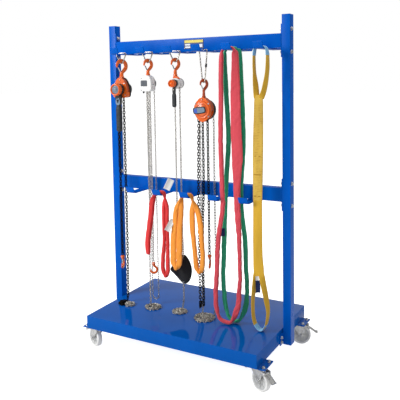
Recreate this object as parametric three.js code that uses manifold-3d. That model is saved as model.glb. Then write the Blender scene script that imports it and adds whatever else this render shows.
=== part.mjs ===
// Mobile lifting-gear rack: a wheeled deck with two posts and two hook beams,
// loaded with four hoists and five lifting slings.
// Millimetres, +Z up, X along the beams. Z = 0 is the floor, X = Y = 0 is the deck's middle.

import * as THREE from 'three';
import { mergeVertices } from 'three/addons/utils/BufferGeometryUtils.js';
import Module from 'manifold-3d';

const wasm = await Module();
wasm.setup();

// ---------------------------------------------------------------- driving dimensions

const GAP = 0.3; // clearance between neighbouring solids

const DECK = { length: 1200, width: 800, top: 235, lip: 82, sheet: 3 };
const DECK_BOTTOM = DECK.top - DECK.lip;

const POST = { width: 50, depth: 60, wall: 3, bottom: 138, top: 2130, middleY: 20 };
const FOOT_PLATE = { thick: 6, width: 150, height: 66 };
const POST_INNER = DECK.length / 2 + FOOT_PLATE.thick + GAP;
const POST_FRONT = POST.middleY - POST.depth / 2;

const BEAM = { height: 84, depth: 50, wall: 3, upperTop: 2020, lowerTop: 1102 };
const END_PLATE = { thick: 6, height: 195 };
const UPPER_BOTTOM = BEAM.upperTop - BEAM.height;
const LOWER_BOTTOM = BEAM.lowerTop - BEAM.height;
const BEAM_MIDDLE_Y = POST_FRONT + BEAM.depth / 2;

const HOOK_PITCH = 205;
const HOOK_BAR = { width: 60, thick: 6, reach: 165, bend: 22, tipAngle: 68, tip: 28 };
const UPPER_HOOK_X = [-2.5, -1.5, -0.5, 0.5, 1.5, 2.5].map((n) => n * HOOK_PITCH);
const LOWER_HOOK_X = [-2, -1, 0, 1, 2].map((n) => n * HOOK_PITCH);

const CASTER = { x: 575, y: 327, trail: 27, wheelRadius: 62.5, wheelWidth: 34, height: 147 };
const CASTER_PLATE = { length: 134, width: 110, thick: 4 };
const BRACKET = { inner: 505, outer: 645, width: 124 };
const CASTER_TURN = { // degrees from +X to the way each wheel trails
  front_left: 158, front_right: -22, rear_left: 202, rear_right: 22,
};

// How far out on its front arm each hoist hangs.
const HANG_Y = { hoist1: -72, hoist2: -60, hoist3: -52, hoist4: -50 };

// ---------------------------------------------------------------- materials

const paint = (color, roughness, metalness) => (
  new THREE.MeshStandardMaterial({ color, roughness, metalness }));
const MATERIAL = {
  bluePaint: paint(0x0050b4, 0.25, 0.1),
  zinc: paint(0xb9bab6, 0.35, 0.85),
  wheelNylon: paint(0xd9d8d2, 0.5, 0),
  orangePaint: paint(0xe8722a, 0.4, 0.1),
  whitePaint: paint(0xe6e6e2, 0.35, 0.1),
  blackPaint: paint(0x161616, 0.4, 0.2),
  blackChain: paint(0x1d1c1a, 0.45, 0.7),
  steelWire: paint(0xa9a49a, 0.35, 0.9),
  blackCloth: paint(0x141414, 0.9, 0),
  redSling: paint(0xd42a30, 0.9, 0),
  crimsonSling: paint(0xb32a3c, 0.9, 0),
  orangeSling: paint(0xf08a2c, 0.9, 0),
  greenSling: paint(0x177a4c, 0.9, 0),
  yellowSling: paint(0xe2b322, 0.9, 0),
};

// ---------------------------------------------------------------- solid helpers

// A closed three.js geometry as a solid with its faces pointing out.
function solid(geometry) {
  const bare = geometry.clone();
  for (const name of Object.keys(bare.attributes)) {
    if (name !== 'position') bare.deleteAttribute(name);
  }
  const merged = mergeVertices(bare, 1e-3);
  const place = merged.attributes.position;
  const index = merged.index.array;
  const corner = (i) => new THREE.Vector3().fromBufferAttribute(place, index[i]);
  const triangles = [];
  let volume = 0;
  for (let i = 0; i < index.length; i += 3) {
    if (index[i] === index[i + 1] || index[i + 1] === index[i + 2] || index[i] === index[i + 2]) {
      continue;
    }
    volume += corner(i).dot(corner(i + 1).cross(corner(i + 2)));
    triangles.push(index[i], index[i + 1], index[i + 2]);
  }
  if (volume < 0) triangles.reverse();
  return new wasm.Manifold(new wasm.Mesh({
    numProp: 3,
    vertProperties: new Float32Array(place.array),
    triVerts: new Uint32Array(triangles),
  }));
}

function geometryOf(manifold) {
  const mesh = manifold.getMesh();
  const geometry = new THREE.BufferGeometry();
  geometry.setAttribute('position', new THREE.BufferAttribute(mesh.vertProperties, 3));
  geometry.setIndex(new THREE.BufferAttribute(mesh.triVerts, 1));
  geometry.computeVertexNormals();
  return geometry;
}

const join = (...pieces) => (
  geometryOf(pieces.map(solid).reduce((whole, piece) => whole.add(piece))));
const cut = (base, ...tools) => (
  geometryOf(tools.map(solid).reduce((whole, tool) => whole.subtract(tool), solid(base))));

function block(x0, x1, y0, y1, z0, z1) {
  const geometry = new THREE.BoxGeometry(x1 - x0, y1 - y0, z1 - z0);
  return geometry.translate((x0 + x1) / 2, (y0 + y1) / 2, (z0 + z1) / 2);
}

// Cylinders along the Y and Z axes.
function discY(radius, y0, y1, sides = 24, x = 0, z = 0) {
  const geometry = new THREE.CylinderGeometry(radius, radius, y1 - y0, sides);
  return geometry.translate(x, (y0 + y1) / 2, z);
}

function discZ(radius, z0, z1, sides = 20, x = 0, y = 0) {
  const geometry = new THREE.CylinderGeometry(radius, radius, z1 - z0, sides);
  return geometry.rotateX(Math.PI / 2).translate(x, y, (z0 + z1) / 2);
}

// A lathe turned about the Y axis, or about the Z axis; the profile is [radius, along] pairs.
const turned = (profile, sides) => (
  new THREE.LatheGeometry(profile.map(([r, a]) => new THREE.Vector2(r, a)), sides));
const latheY = (profile, sides = 24) => turned(profile, sides);
const latheZ = (profile, sides = 24) => turned(profile, sides).rotateX(Math.PI / 2);

const polygon = (points) => new THREE.Shape(points.map(([a, b]) => new THREE.Vector2(a, b)));

// A flat outline in XZ as a plate from y0 to y1.
function plateY(shape, y0, y1, curveSegments = 6) {
  const options = { depth: y1 - y0, bevelEnabled: false, curveSegments };
  const geometry = new THREE.ExtrudeGeometry(shape, options);
  return geometry.rotateX(Math.PI / 2).translate(0, y1, 0);
}

// A flat outline in YZ as a plate from x0 to x1.
function plateX(shape, x0, x1, curveSegments = 6) {
  const options = { depth: x1 - x0, bevelEnabled: false, curveSegments };
  const geometry = new THREE.ExtrudeGeometry(shape, options);
  const axes = new THREE.Matrix4().makeBasis(
    new THREE.Vector3(0, 1, 0), new THREE.Vector3(0, 0, 1), new THREE.Vector3(1, 0, 0));
  return geometry.applyMatrix4(axes).translate(x0, 0, 0);
}

// A route through corner points that puts one tube section on each of them.
class Route extends THREE.Curve {
  constructor(points, closed = false) {
    super();
    this.corners = points.map(([x, y, z]) => new THREE.Vector3(x, y, z));
    this.closed = closed;
    this.steps = closed ? points.length : points.length - 1;
  }

  corner(i) {
    const count = this.corners.length;
    return this.corners[this.closed ? (i + count) % count : Math.min(Math.max(i, 0), count - 1)];
  }

  getPointAt(u, target = new THREE.Vector3()) {
    const along = u * this.steps;
    const i = Math.min(Math.floor(along + 1e-9), this.steps);
    return target.copy(this.corner(i)).lerp(this.corner(i + 1), Math.max(along - i, 0));
  }

  getPoint(u, target) {
    return this.getPointAt(u, target);
  }

  getTangentAt(u, target = new THREE.Vector3()) {
    const i = Math.round(u * this.steps);
    const before = this.corner(i).clone().sub(this.corner(i - 1)).normalize();
    const after = this.corner(i + 1).clone().sub(this.corner(i)).normalize();
    return target.copy(before).add(after).normalize();
  }
}

function tube(points, radius, sides = 8) {
  const route = new Route(points);
  const section = new THREE.Shape();
  for (let i = 0; i < sides; i += 1) {
    const angle = (2 * Math.PI * (i + 0.5)) / sides;
    const method = i === 0 ? 'moveTo' : 'lineTo';
    section[method](radius * Math.cos(angle), radius * Math.sin(angle));
  }
  return new THREE.ExtrudeGeometry(
    section, { steps: route.steps, bevelEnabled: false, extrudePath: route });
}

function closedTube(points, radius, sides = 8) {
  const route = new Route(points, true);
  return new THREE.TubeGeometry(route, route.steps, radius, sides, true);
}

// Points on an arc in a plane of constant y; angles in degrees from +X towards +Z.
function arcPoints(x, y, z, radius, from, to, steps) {
  return Array.from({ length: steps + 1 }, (unused, i) => {
    const angle = THREE.MathUtils.degToRad(from + ((to - from) * i) / steps);
    return [x + radius * Math.cos(angle), y, z + radius * Math.sin(angle)];
  });
}

const rack = new THREE.Group();

function add(name, geometry, material, parent = rack) {
  const mesh = new THREE.Mesh(geometry, material);
  mesh.name = name;
  parent.add(mesh);
  return mesh;
}

function groupAt(x, y, z, turn = 0) {
  const group = new THREE.Group();
  group.position.set(x, y, z);
  group.rotation.z = THREE.MathUtils.degToRad(turn);
  rack.add(group);
  return group;
}

// ---------------------------------------------------------------- rack

// The deck is a sheet tray, open below, with a caster bracket under each corner
// and each caster's fixed plate bolted up to its bracket.
function deckTray() {
  const x = DECK.length / 2;
  const y = DECK.width / 2;
  const tray = cut(
    block(-x, x, -y, y, DECK_BOTTOM, DECK.top),
    block(-x + DECK.sheet, x - DECK.sheet, -y + DECK.sheet, y - DECK.sheet,
      DECK_BOTTOM - 1, DECK.top - DECK.sheet));
  const brackets = [];
  for (const sx of [-1, 1]) {
    for (const sy of [-1, 1]) {
      const [x0, x1] = [sx * BRACKET.inner, sx * BRACKET.outer].sort((a, b) => a - b);
      const cy = sy * CASTER.y;
      const cx = sx * CASTER.x;
      brackets.push(block(x0, x1, cy - BRACKET.width / 2, cy + BRACKET.width / 2,
        CASTER.height, DECK_BOTTOM + 0.01));
      brackets.push(block(
        cx - CASTER_PLATE.length / 2, cx + CASTER_PLATE.length / 2,
        cy - CASTER_PLATE.width / 2, cy + CASTER_PLATE.width / 2,
        CASTER.height - CASTER_PLATE.thick, CASTER.height + 0.01));
    }
  }
  return join(tray, ...brackets);
}

// A rectangular tube, open at its foot and capped on top, with a flange to the deck's end.
function post(side) {
  const inner = side * POST_INNER;
  const outer = side * (POST_INNER + POST.width);
  const [x0, x1] = [inner, outer].sort((a, b) => a - b);
  const y0 = POST_FRONT;
  const y1 = POST_FRONT + POST.depth;
  const shell = cut(
    block(x0, x1, y0, y1, POST.bottom, POST.top),
    block(x0 + POST.wall, x1 - POST.wall, y0 + POST.wall, y1 - POST.wall,
      POST.bottom - 1, POST.top - POST.wall));
  const face = side * (DECK.length / 2 + GAP);
  const [f0, f1] = [face, inner + side * 0.01].sort((a, b) => a - b);
  const flange = block(f0, f1, POST.middleY - FOOT_PLATE.width / 2,
    POST.middleY + FOOT_PLATE.width / 2, POST.bottom + 6, POST.bottom + 6 + FOOT_PLATE.height);
  return join(shell, flange);
}

// A rectangular tube between the posts, with a tall plate on each end.
function beam(top) {
  const end = POST_INNER - GAP;
  const y0 = POST_FRONT;
  const y1 = POST_FRONT + BEAM.depth;
  const middle = top - BEAM.height / 2;
  const plates = [-1, 1].map((side) => {
    const [x0, x1] = [side * end, side * (end - END_PLATE.thick)].sort((a, b) => a - b);
    return block(x0, x1, y0 + 0.5, y1, middle - END_PLATE.height / 2,
      middle + END_PLATE.height / 2);
  });
  return cut(
    join(block(-end, end, y0, y1, top - BEAM.height, top), ...plates),
    block(-end - 1, end + 1, y0 + BEAM.wall, y1 - BEAM.wall,
      top - BEAM.height + BEAM.wall, top - BEAM.wall));
}

// One flat bar passes under the beam and turns up at both ends: a front and a rear hook.
// A shallow relief under the beam keeps each arm's top a flat face of its own.
function hookBar(x, beamBottom) {
  const { width, thick, reach, bend, tipAngle, tip } = HOOK_BAR;
  const start = -90;
  const steps = 5;
  const outline = (radius, end) => {
    const points = [];
    for (let i = 0; i <= steps; i += 1) {
      const angle = THREE.MathUtils.degToRad(start + (tipAngle * i) / steps);
      points.push([reach - bend + radius * Math.cos(angle), bend + radius * Math.sin(angle)]);
    }
    const last = THREE.MathUtils.degToRad(tipAngle);
    const [y, z] = points[points.length - 1];
    points.push([y + end * Math.cos(last), z + end * Math.sin(last)]);
    return points;
  };
  const under = outline(bend, tip);
  const over = outline(bend - thick, tip).reverse();
  const right = [...under, ...over];
  const left = right.map(([y, z]) => [-y, z]).reverse();
  const bar = plateX(polygon([...right, ...left]), x - width / 2, x + width / 2);
  bar.translate(0, BEAM_MIDDLE_Y, beamBottom - GAP - thick);
  const relief = BEAM.depth / 2 + 2;
  return cut(bar, block(x - width, x + width, BEAM_MIDDLE_Y - relief, BEAM_MIDDLE_Y + relief,
    beamBottom - 2 * GAP, beamBottom + 1));
}

add('deck_tray', deckTray(), MATERIAL.bluePaint);
add('left_post', post(-1), MATERIAL.bluePaint);
add('right_post', post(1), MATERIAL.bluePaint);
add('upper_beam', beam(BEAM.upperTop), MATERIAL.bluePaint);
add('lower_beam', beam(BEAM.lowerTop), MATERIAL.bluePaint);
UPPER_HOOK_X.forEach((x, i) => {
  add(`upper_hook_${i + 1}`, hookBar(x, UPPER_BOTTOM), MATERIAL.bluePaint);
});
LOWER_HOOK_X.forEach((x, i) => {
  add(`lower_hook_${i + 1}`, hookBar(x, LOWER_BOTTOM), MATERIAL.bluePaint);
});

// ---------------------------------------------------------------- casters

// In a caster's own frame, Z is the swivel axis and the wheel trails towards +X.
const FORK = { inner: 20, outer: 24, crown: 131, crownThick: 4, axle: 6, pin: 3 };
const PEDAL = { x: 70, z: 118, hub: 7, tipX: 124, tipZ: 80, thick: 4, width: 37 };

function casterWheel() {
  const half = CASTER.wheelWidth / 2;
  const bore = FORK.axle + GAP;
  const r = CASTER.wheelRadius;
  const wheel = latheY([
    [bore, -half], [18, -half], [22, -half + 5], [44, -half + 5], [47, -half + 1],
    [r - 3, -half + 1], [r, -half + 5], [r, half - 5], [r - 3, half - 1],
    [47, half - 1], [44, half - 5], [22, half - 5], [18, half], [bore, half], [bore, -half],
  ], 28);
  return wheel.translate(CASTER.trail, 0, r);
}

function casterFork() {
  const { inner, outer, crown, crownThick, axle, pin } = FORK;
  const z = CASTER.wheelRadius;
  const leg = new THREE.Shape();
  leg.moveTo(-28, crown);
  leg.lineTo(-28, crown - 14);
  leg.lineTo(CASTER.trail - 13, z);
  leg.absarc(CASTER.trail, z, 13, Math.PI, 2 * Math.PI, false);
  leg.lineTo(54, crown - 24);
  leg.lineTo(PEDAL.x + 9, PEDAL.z - 9);
  leg.lineTo(PEDAL.x + 9, crown - crownThick);
  leg.lineTo(48, crown);
  return join(
    plateY(leg, -outer, -inner),
    plateY(leg, inner, outer),
    block(-30, 46, -outer, outer, crown - crownThick, crown),
    discY(axle, -outer - 6, outer + 6, 12, CASTER.trail, z),
    discY(pin, -outer - 2, outer + 2, 8, PEDAL.x, PEDAL.z),
    latheZ([[0, crown - 1], [32, crown - 1], [36, crown + 4],
      [30, CASTER.height - CASTER_PLATE.thick - GAP],
      [0, CASTER.height - CASTER_PLATE.thick - GAP]], 20));
}

function casterPedal() {
  const { x, z, hub, tipX, tipZ, thick, width } = PEDAL;
  const hubPiece = discY(hub, -width / 2, width / 2, 12, x, z);
  const run = new THREE.Vector2(tipX - x, tipZ - z).normalize();
  const across = new THREE.Vector2(-run.y, run.x).multiplyScalar(thick / 2);
  const from = new THREE.Vector2(x, z).addScaledVector(run, FORK.pin + 1);
  const to = new THREE.Vector2(tipX, tipZ);
  const lip = new THREE.Vector2(tipX + 10, tipZ + 3);
  const lever = polygon([
    [from.x - across.x, from.y - across.y], [to.x - across.x, to.y - across.y],
    [lip.x, lip.y - thick / 2], [lip.x, lip.y + thick / 2],
    [to.x + across.x, to.y + across.y], [from.x + across.x, from.y + across.y],
  ]);
  return cut(
    join(hubPiece, plateY(lever, -width / 2, width / 2)),
    discY(FORK.pin + GAP, -width, width, 8, x, z));
}

for (const [corner, turn] of Object.entries(CASTER_TURN)) {
  const x = corner.endsWith('left') ? -CASTER.x : CASTER.x;
  const y = corner.startsWith('front') ? -CASTER.y : CASTER.y;
  const caster = groupAt(x, y, 0, turn);
  add(`caster_fork_${corner}`, casterFork(), MATERIAL.zinc, caster);
  add(`caster_wheel_${corner}`, casterWheel(), MATERIAL.wheelNylon, caster);
  add(`brake_pedal_${corner}`, casterPedal(), MATERIAL.zinc, caster);
}

// ---------------------------------------------------------------- hoist pieces

const RING = { half: 38.5, wire: 4, top: UPPER_BOTTOM + 4, bottom: 1872 };

// A wire triangle that hangs over an arm, flat side up.
function hangingRing() {
  const { half, top, bottom } = RING;
  const corner = 8;
  const vee = 16;
  return [
    ...arcPoints(half - corner, 0, top - corner, corner, 90, -32, 5),
    ...arcPoints(0, 0, bottom + vee, vee, -32, -148, 6),
    ...arcPoints(corner - half, 0, top - corner, corner, 212, 90, 5),
  ];
}

// A lifting hook in the XZ plane: bowl centre at the origin, neck along +Z.
function hookPlate(bowl, neckTop, thick) {
  const angle = THREE.MathUtils.degToRad;
  const outer = bowl * 1.72;
  const shape = new THREE.Shape();
  shape.moveTo(bowl * 0.42, neckTop);
  shape.lineTo(bowl * 0.42, outer * 1.05);
  shape.absarc(0, 0, outer, angle(62), angle(-202), true);
  shape.absarc(0, 0, bowl, angle(-215), angle(82), false);
  shape.lineTo(-bowl * 0.42, outer * 1.05);
  shape.lineTo(-bowl * 0.42, neckTop);
  return plateY(shape, -thick / 2, thick / 2, 12);
}

// A top hook hangs bowl-up from the ring; a bottom hook hangs bowl-down from its chain.
const TOP_HOOK = { turn: 245, thick: 9, lift: 2.7 };

function topHook(bowl, neckBottom) {
  const centre = RING.bottom + RING.wire + TOP_HOOK.lift - bowl;
  const hook = join(
    hookPlate(bowl, centre - neckBottom - 2, TOP_HOOK.thick),
    discZ(bowl * 0.5, centre - neckBottom - 14, centre - neckBottom, 12));
  hook.rotateY(Math.PI).rotateZ(THREE.MathUtils.degToRad(TOP_HOOK.turn));
  return hook.translate(0, 0, centre);
}

function bottomHook(bowl, turn) {
  const neck = bowl * 2.4;
  const swivel = bowl * 3.4;
  const hook = join(
    hookPlate(bowl, neck, 11),
    latheZ([[0, neck - 4], [bowl * 0.5, neck - 4], [bowl * 0.75, neck + 4],
      [bowl * 0.75, swivel - 5], [bowl * 0.5, swivel], [0, swivel]], 14));
  return { geometry: hook.rotateZ(THREE.MathUtils.degToRad(turn)), top: swivel };
}

// A load chain runs up from (x1), over its sheave inside the housing, and down again.
const overSheave = (x, y, z, radius) => arcPoints(x, y, z, radius, 0, 180, 8);

// A low heap of chain that lies on the deck.
function heap(x, y, radius, height) {
  const z = DECK.top + GAP;
  return latheZ([[0, 0], [radius, 0], [radius, 5], [radius * 0.72, height * 0.7],
    [radius * 0.35, height], [0, height]], 14).translate(x, y, z);
}

// ---------------------------------------------------------------- hoist 1: large lever hoist

const HOIST_1 = { x: UPPER_HOOK_X[0], axle: 1698, sheave: 22, offset: -10, chain: 9, lever: 285 };

function buildHoist1() {
  const { x, axle, sheave, offset, chain, lever } = HOIST_1;
  const at = groupAt(x, HANG_Y.hoist1, axle);
  const up = (z) => z - axle;
  const ring = groupAt(x, HANG_Y.hoist1, 0);
  add('hoist_1_ring', closedTube(hangingRing(), RING.wire), MATERIAL.steelWire, ring);
  const neck = 80;
  add('hoist_1_top_hook', topHook(24, axle + neck + GAP), MATERIAL.orangePaint, ring);

  const side = polygon([[-13, neck], [13, neck], [32, 60], [50, 24], [58, -18], [56, -46],
    [46, -56], [-46, -56], [-56, -46], [-58, -18], [-50, 24], [-32, 60]]);
  const slot = sheave + chain + 2;
  add('hoist_1_housing', cut(
    join(plateY(side, -24, 24), discY(50, 23.9, 58), discY(20, 57.9, 64)),
    block(offset - slot, offset + slot, -chain - 2, chain + 2, -60, 0),
    discY(slot, -chain - 2, chain + 2, 24, offset)), MATERIAL.orangePaint, at);

  const arm = polygon([[-17, -30], [17, -30], [15, -96], [13, -110], [17, -140], [17, -lever + 8],
    [9, -lever], [-9, -lever], [-17, -lever + 8], [-17, -140], [-13, -110], [-15, -96]]);
  add('hoist_1_lever', join(discY(40, -50, -24.3), plateY(arm, -48, -34)),
    MATERIAL.blackPaint, at);
  add('hoist_1_knob', latheY([[0, -82], [26, -82], [37, -78], [41, -70], [41, -54],
    [37, -50.3], [0, -50.3]], 24), MATERIAL.orangePaint, at);

  const tail = offset + sheave;
  const hook = bottomHook(17, 112);
  const hookZ = 497;
  const load = groupAt(x + offset - sheave, HANG_Y.hoist1, hookZ);
  add('hoist_1_bottom_hook', hook.geometry, MATERIAL.orangePaint, load);
  const strands = tube([
    [offset - sheave, 0, up(hookZ + hook.top + GAP)],
    ...overSheave(offset, 0, 0, sheave).reverse(),
    [tail, 0, up(700)], [tail + 4, -10, up(420)], [tail + 4, -16, up(DECK.top + 8)],
  ], chain);
  const pile = heap(tail + 14, -52, 66, 20).translate(0, 0, -axle);
  add('hoist_1_load_chain', join(strands, pile), MATERIAL.blackChain, at);
}

// ---------------------------------------------------------------- hoist 2: small chain block

const HOIST_2 = { x: UPPER_HOOK_X[1], axle: 1735, sheave: 12, chain: 6.5 };
const HOIST_2_WHEEL = { y: 33, radius: 24, chain: 5, cover: 36 };

function buildHoist2() {
  const { x, axle, sheave, chain } = HOIST_2;
  const wheel = HOIST_2_WHEEL;
  const at = groupAt(x, HANG_Y.hoist2, axle);
  const up = (z) => z - axle;
  const ring = groupAt(x, HANG_Y.hoist2, 0);
  add('hoist_2_ring', closedTube(hangingRing(), RING.wire), MATERIAL.steelWire, ring);
  const neck = 56;
  add('hoist_2_top_hook', topHook(20, axle + neck + GAP), MATERIAL.orangePaint, ring);

  const box = polygon([[-10, neck], [10, neck], [28, 44], [40, 26], [42, -44], [34, -52],
    [-34, -52], [-42, -44], [-40, 26], [-28, 44]]);
  const slot = sheave + chain + 2;
  const groove = wheel.radius + wheel.chain + 2;
  add('hoist_2_housing', cut(
    join(plateY(box, -31, 22), discY(wheel.cover, 21.9, 46)),
    block(-slot, slot, -chain - 2, chain + 2, -60, 0),
    discY(slot, -chain - 2, chain + 2, 20),
    block(-groove, groove, wheel.y - 8, wheel.y + 8, -60, 0),
    discY(groove, wheel.y - 8, wheel.y + 8, 24)), MATERIAL.whitePaint, at);

  const hook = bottomHook(15, 35);
  const hookZ = 485;
  const load = groupAt(x + sheave, HANG_Y.hoist2, hookZ);
  add('hoist_2_bottom_hook', hook.geometry, MATERIAL.orangePaint, load);
  const strands = tube([
    [sheave, 0, up(hookZ + hook.top + GAP)],
    ...overSheave(0, 0, 0, sheave),
    [-sheave, 0, up(900)], [-sheave - 16, 14, up(600)], [-sheave - 18, 14, up(430)],
    [-sheave + 4, -18, up(DECK.top + 8)],
  ], chain);
  const pile = heap(0, -34, 60, 22).translate(20, 0, -axle);
  add('hoist_2_load_chain', join(strands, pile), MATERIAL.steelWire, at);

  const low = up(DECK.top + 60);
  const r = wheel.radius;
  add('hoist_2_hand_chain', closedTube([
    ...arcPoints(0, wheel.y, 0, r, 0, 180, 10),
    ...arcPoints(0, wheel.y, low, r, 180, 360, 8),
  ], wheel.chain), MATERIAL.steelWire, at);
}

// ---------------------------------------------------------------- hoist 3: small lever hoist

const HOIST_3 = { x: UPPER_HOOK_X[2], axle: 1734, sheave: 18, offset: 12, chain: 6.5, lever: 152 };
const CHAIN_BAG = { bottom: 417, top: 614, hole: 9 };

function buildHoist3() {
  const { x, axle, sheave, offset, chain, lever } = HOIST_3;
  const at = groupAt(x + offset, HANG_Y.hoist3, axle);
  const up = (z) => z - axle;
  const ring = groupAt(x, HANG_Y.hoist3, 0);
  add('hoist_3_ring', closedTube(hangingRing(), RING.wire), MATERIAL.steelWire, ring);
  const neck = 50;
  add('hoist_3_top_hook', topHook(20, axle + neck + GAP), MATERIAL.orangePaint, ring);

  const yoke = polygon([[-10 - offset, neck], [10 - offset, neck], [22, 30], [22, 10],
    [-24, 10], [-26, 30]]);
  const slot = sheave + chain + 2;
  add('hoist_3_housing', cut(
    join(discY(34, -28, 36), plateY(yoke, -14, 14)),
    block(-slot, slot, -chain - 2, chain + 2, -60, 0),
    discY(slot, -chain - 2, chain + 2, 20)), MATERIAL.whitePaint, at);

  const arm = polygon([[-8, -24], [8, -24], [7, -70], [11, -84], [11, -lever + 6], [6, -lever],
    [-6, -lever], [-11, -lever + 6], [-11, -84], [-7, -70]]);
  add('hoist_3_lever', join(discY(30, -48, -28.3), plateY(arm, -44, -32)),
    MATERIAL.blackPaint, at);
  add('hoist_3_knob', latheY([[0, -76], [16, -76], [23, -72], [25, -66], [25, -52],
    [22, -48.3], [0, -48.3]], 20), MATERIAL.orangePaint, at);

  // One strand carries the bottom hook; the other runs through the bag.
  const hook = bottomHook(13, 60);
  const hookZ = 700;
  const load = groupAt(x + offset - sheave, HANG_Y.hoist3, hookZ);
  add('hoist_3_bottom_hook', hook.geometry, MATERIAL.orangePaint, load);
  const tail = sheave + 4;
  const strands = tube([
    [-sheave, 0, up(hookZ + hook.top + GAP)],
    ...overSheave(0, 0, 0, sheave).reverse(),
    [sheave, 0, up(900)], [tail, 0, up(660)], [tail, 0, up(400)],
    [tail + 2, -14, up(DECK.top + 8)],
  ], chain);
  const pile = heap(2, -24, 54, 20).translate(0, 0, -axle);
  add('hoist_3_load_chain', join(strands, pile), MATERIAL.steelWire, at);

  // The bag's chain runs down through it.
  const { bottom, top, hole } = CHAIN_BAG;
  const bag = polygon([[8, top], [32, top], [46, top - 14], [65, top - 38], [82, top - 84],
    [78, top - 130], [66, bottom + 32], [34, bottom], [6, bottom + 2], [-6, bottom + 12],
    [-54, bottom + 55], [-92, top - 118], [-78, top - 93], [-30, top - 42]]);
  add('hoist_3_chain_bag', cut(
    plateY(bag, -14, 34),
    discZ(hole, bottom - 20, top + 20, 10, tail, 0)).translate(0, 0, -axle),
  MATERIAL.blackCloth, at);
}

// ---------------------------------------------------------------- hoist 4: hand chain block

const HOIST_4 = { x: UPPER_HOOK_X[3], axle: 1566, sheave: 17.5, offset: 6, chain: 9 };
const HOIST_4_WHEEL = { y: 31, radius: 50, chain: 5.5 };
const ROPE_LOOP = { wire: 4, low: 1738, turn: -30 };

function buildHoist4() {
  const { x, axle, sheave, offset, chain } = HOIST_4;
  const wheel = HOIST_4_WHEEL;
  const at = groupAt(x, HANG_Y.hoist4, axle);
  const up = (z) => z - axle;
  const hang = groupAt(x, HANG_Y.hoist4, 0);
  const { wire, low } = ROPE_LOOP;
  const turn = THREE.MathUtils.degToRad(ROPE_LOOP.turn);
  const arm = (HOOK_BAR.width / 2) / Math.cos(turn) + 11;
  add('hoist_4_rope_loop', closedTube([
    ...arcPoints(arm - 8, 0, UPPER_BOTTOM + wire - 8, 8, 90, -6, 4),
    ...arcPoints(0, 0, low + 16, 16, -10, -170, 6),
    ...arcPoints(8 - arm, 0, UPPER_BOTTOM + wire - 8, 8, 186, 90, 4),
  ], wire).rotateZ(turn), MATERIAL.steelWire, hang);

  const neck = 80;
  const bowl = 18;
  const centre = low + wire + TOP_HOOK.lift - bowl;
  const hook = join(
    hookPlate(bowl, centre - axle - neck - GAP - 2, TOP_HOOK.thick),
    discZ(bowl * 0.5, centre - axle - neck - GAP - 14, centre - axle - neck - GAP, 12));
  hook.rotateY(Math.PI).rotateZ(THREE.MathUtils.degToRad(TOP_HOOK.turn));
  add('hoist_4_top_hook', hook.translate(0, 0, centre), MATERIAL.orangePaint, hang);

  const body = polygon([[-14, neck], [14, neck], [34, 56], [52, 34], [58, 4], [54, -26],
    [38, -54], [10, -76], [-10, -76], [-38, -54], [-54, -26], [-58, 4], [-52, 34], [-34, 56]]);
  const groove = wheel.radius + wheel.chain + 2;
  add('hoist_4_housing', cut(
    join(plateY(body, -34, 16), discY(64, 15.9, 46, 28)),
    block(offset - sheave - chain - 3, offset + sheave + chain + 2, -chain - 2, chain + 2, -90, 0),
    discY(sheave + chain + 2, -chain - 2, chain + 2, 20, offset),
    block(-groove, groove, wheel.y - 8, wheel.y + 8, -90, 0),
    discY(groove, wheel.y - 8, wheel.y + 8, 28)), MATERIAL.orangePaint, at);

  const bottom = bottomHook(17, 112);
  const hookZ = 585;
  const loadX = offset + sheave;
  const load = groupAt(x + loadX, HANG_Y.hoist4, hookZ);
  add('hoist_4_bottom_hook', bottom.geometry, MATERIAL.orangePaint, load);
  const tailX = offset - sheave;
  const slack = up(330);
  const strands = tube([
    [loadX, 0, up(hookZ + bottom.top + GAP)],
    ...overSheave(offset, 0, 0, sheave),
    [tailX, 0, up(1100)], [tailX - 12, 0, up(760)], [tailX - 12, 0, slack],
    ...arcPoints(tailX - 25, 0, slack, 13, -30, -150, 4),
    [tailX - 38, 0, slack], [tailX - 38, 0, up(1100)], [tailX - 28, 0, up(1480)],
  ], chain);
  add('hoist_4_load_chain', strands, MATERIAL.blackChain, at);

  const r = wheel.radius;
  const foot = up(DECK.top + 10);
  const hand = tube([
    [r - 6, -10, foot], [r + 2, 22, up(296)], [r, wheel.y, up(1200)],
    ...arcPoints(0, wheel.y, 0, r, 0, 180, 10),
    [-r, wheel.y, up(1200)], [-r + 6, 24, up(296)], [-r + 20, -10, foot],
  ], wheel.chain);
  const pile = heap(2, -46, 76, 26).translate(0, 0, -axle);
  add('hoist_4_hand_chain', join(hand, pile), MATERIAL.steelWire, at);
}

buildHoist1();
buildHoist2();
buildHoist3();
buildHoist4();

// ---------------------------------------------------------------- slings

const ARM_TOP_UPPER = UPPER_BOTTOM - GAP;
const ARM_TOP_LOWER = LOWER_BOTTOM - GAP;
const ARM_HALF = HOOK_BAR.width / 2;

// A sling hung over an arm. Each leg is a list of [height, left edge, right edge] going down.
// A leg's end is the list of points that close it below, from its left edge to its right.
const leftEdge = (leg) => leg.map(([z, x]) => [x, z]);
const rightEdge = (leg) => leg.map(([z, , x]) => [x, z]);

function overArm(x, armTop, rise) {
  return [[x - ARM_HALF - 8, armTop + rise * 0.4], [x - ARM_HALF + 6, armTop + rise],
    [x + ARM_HALF - 6, armTop + rise], [x + ARM_HALF + 8, armTop + rise * 0.4]];
}

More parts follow.
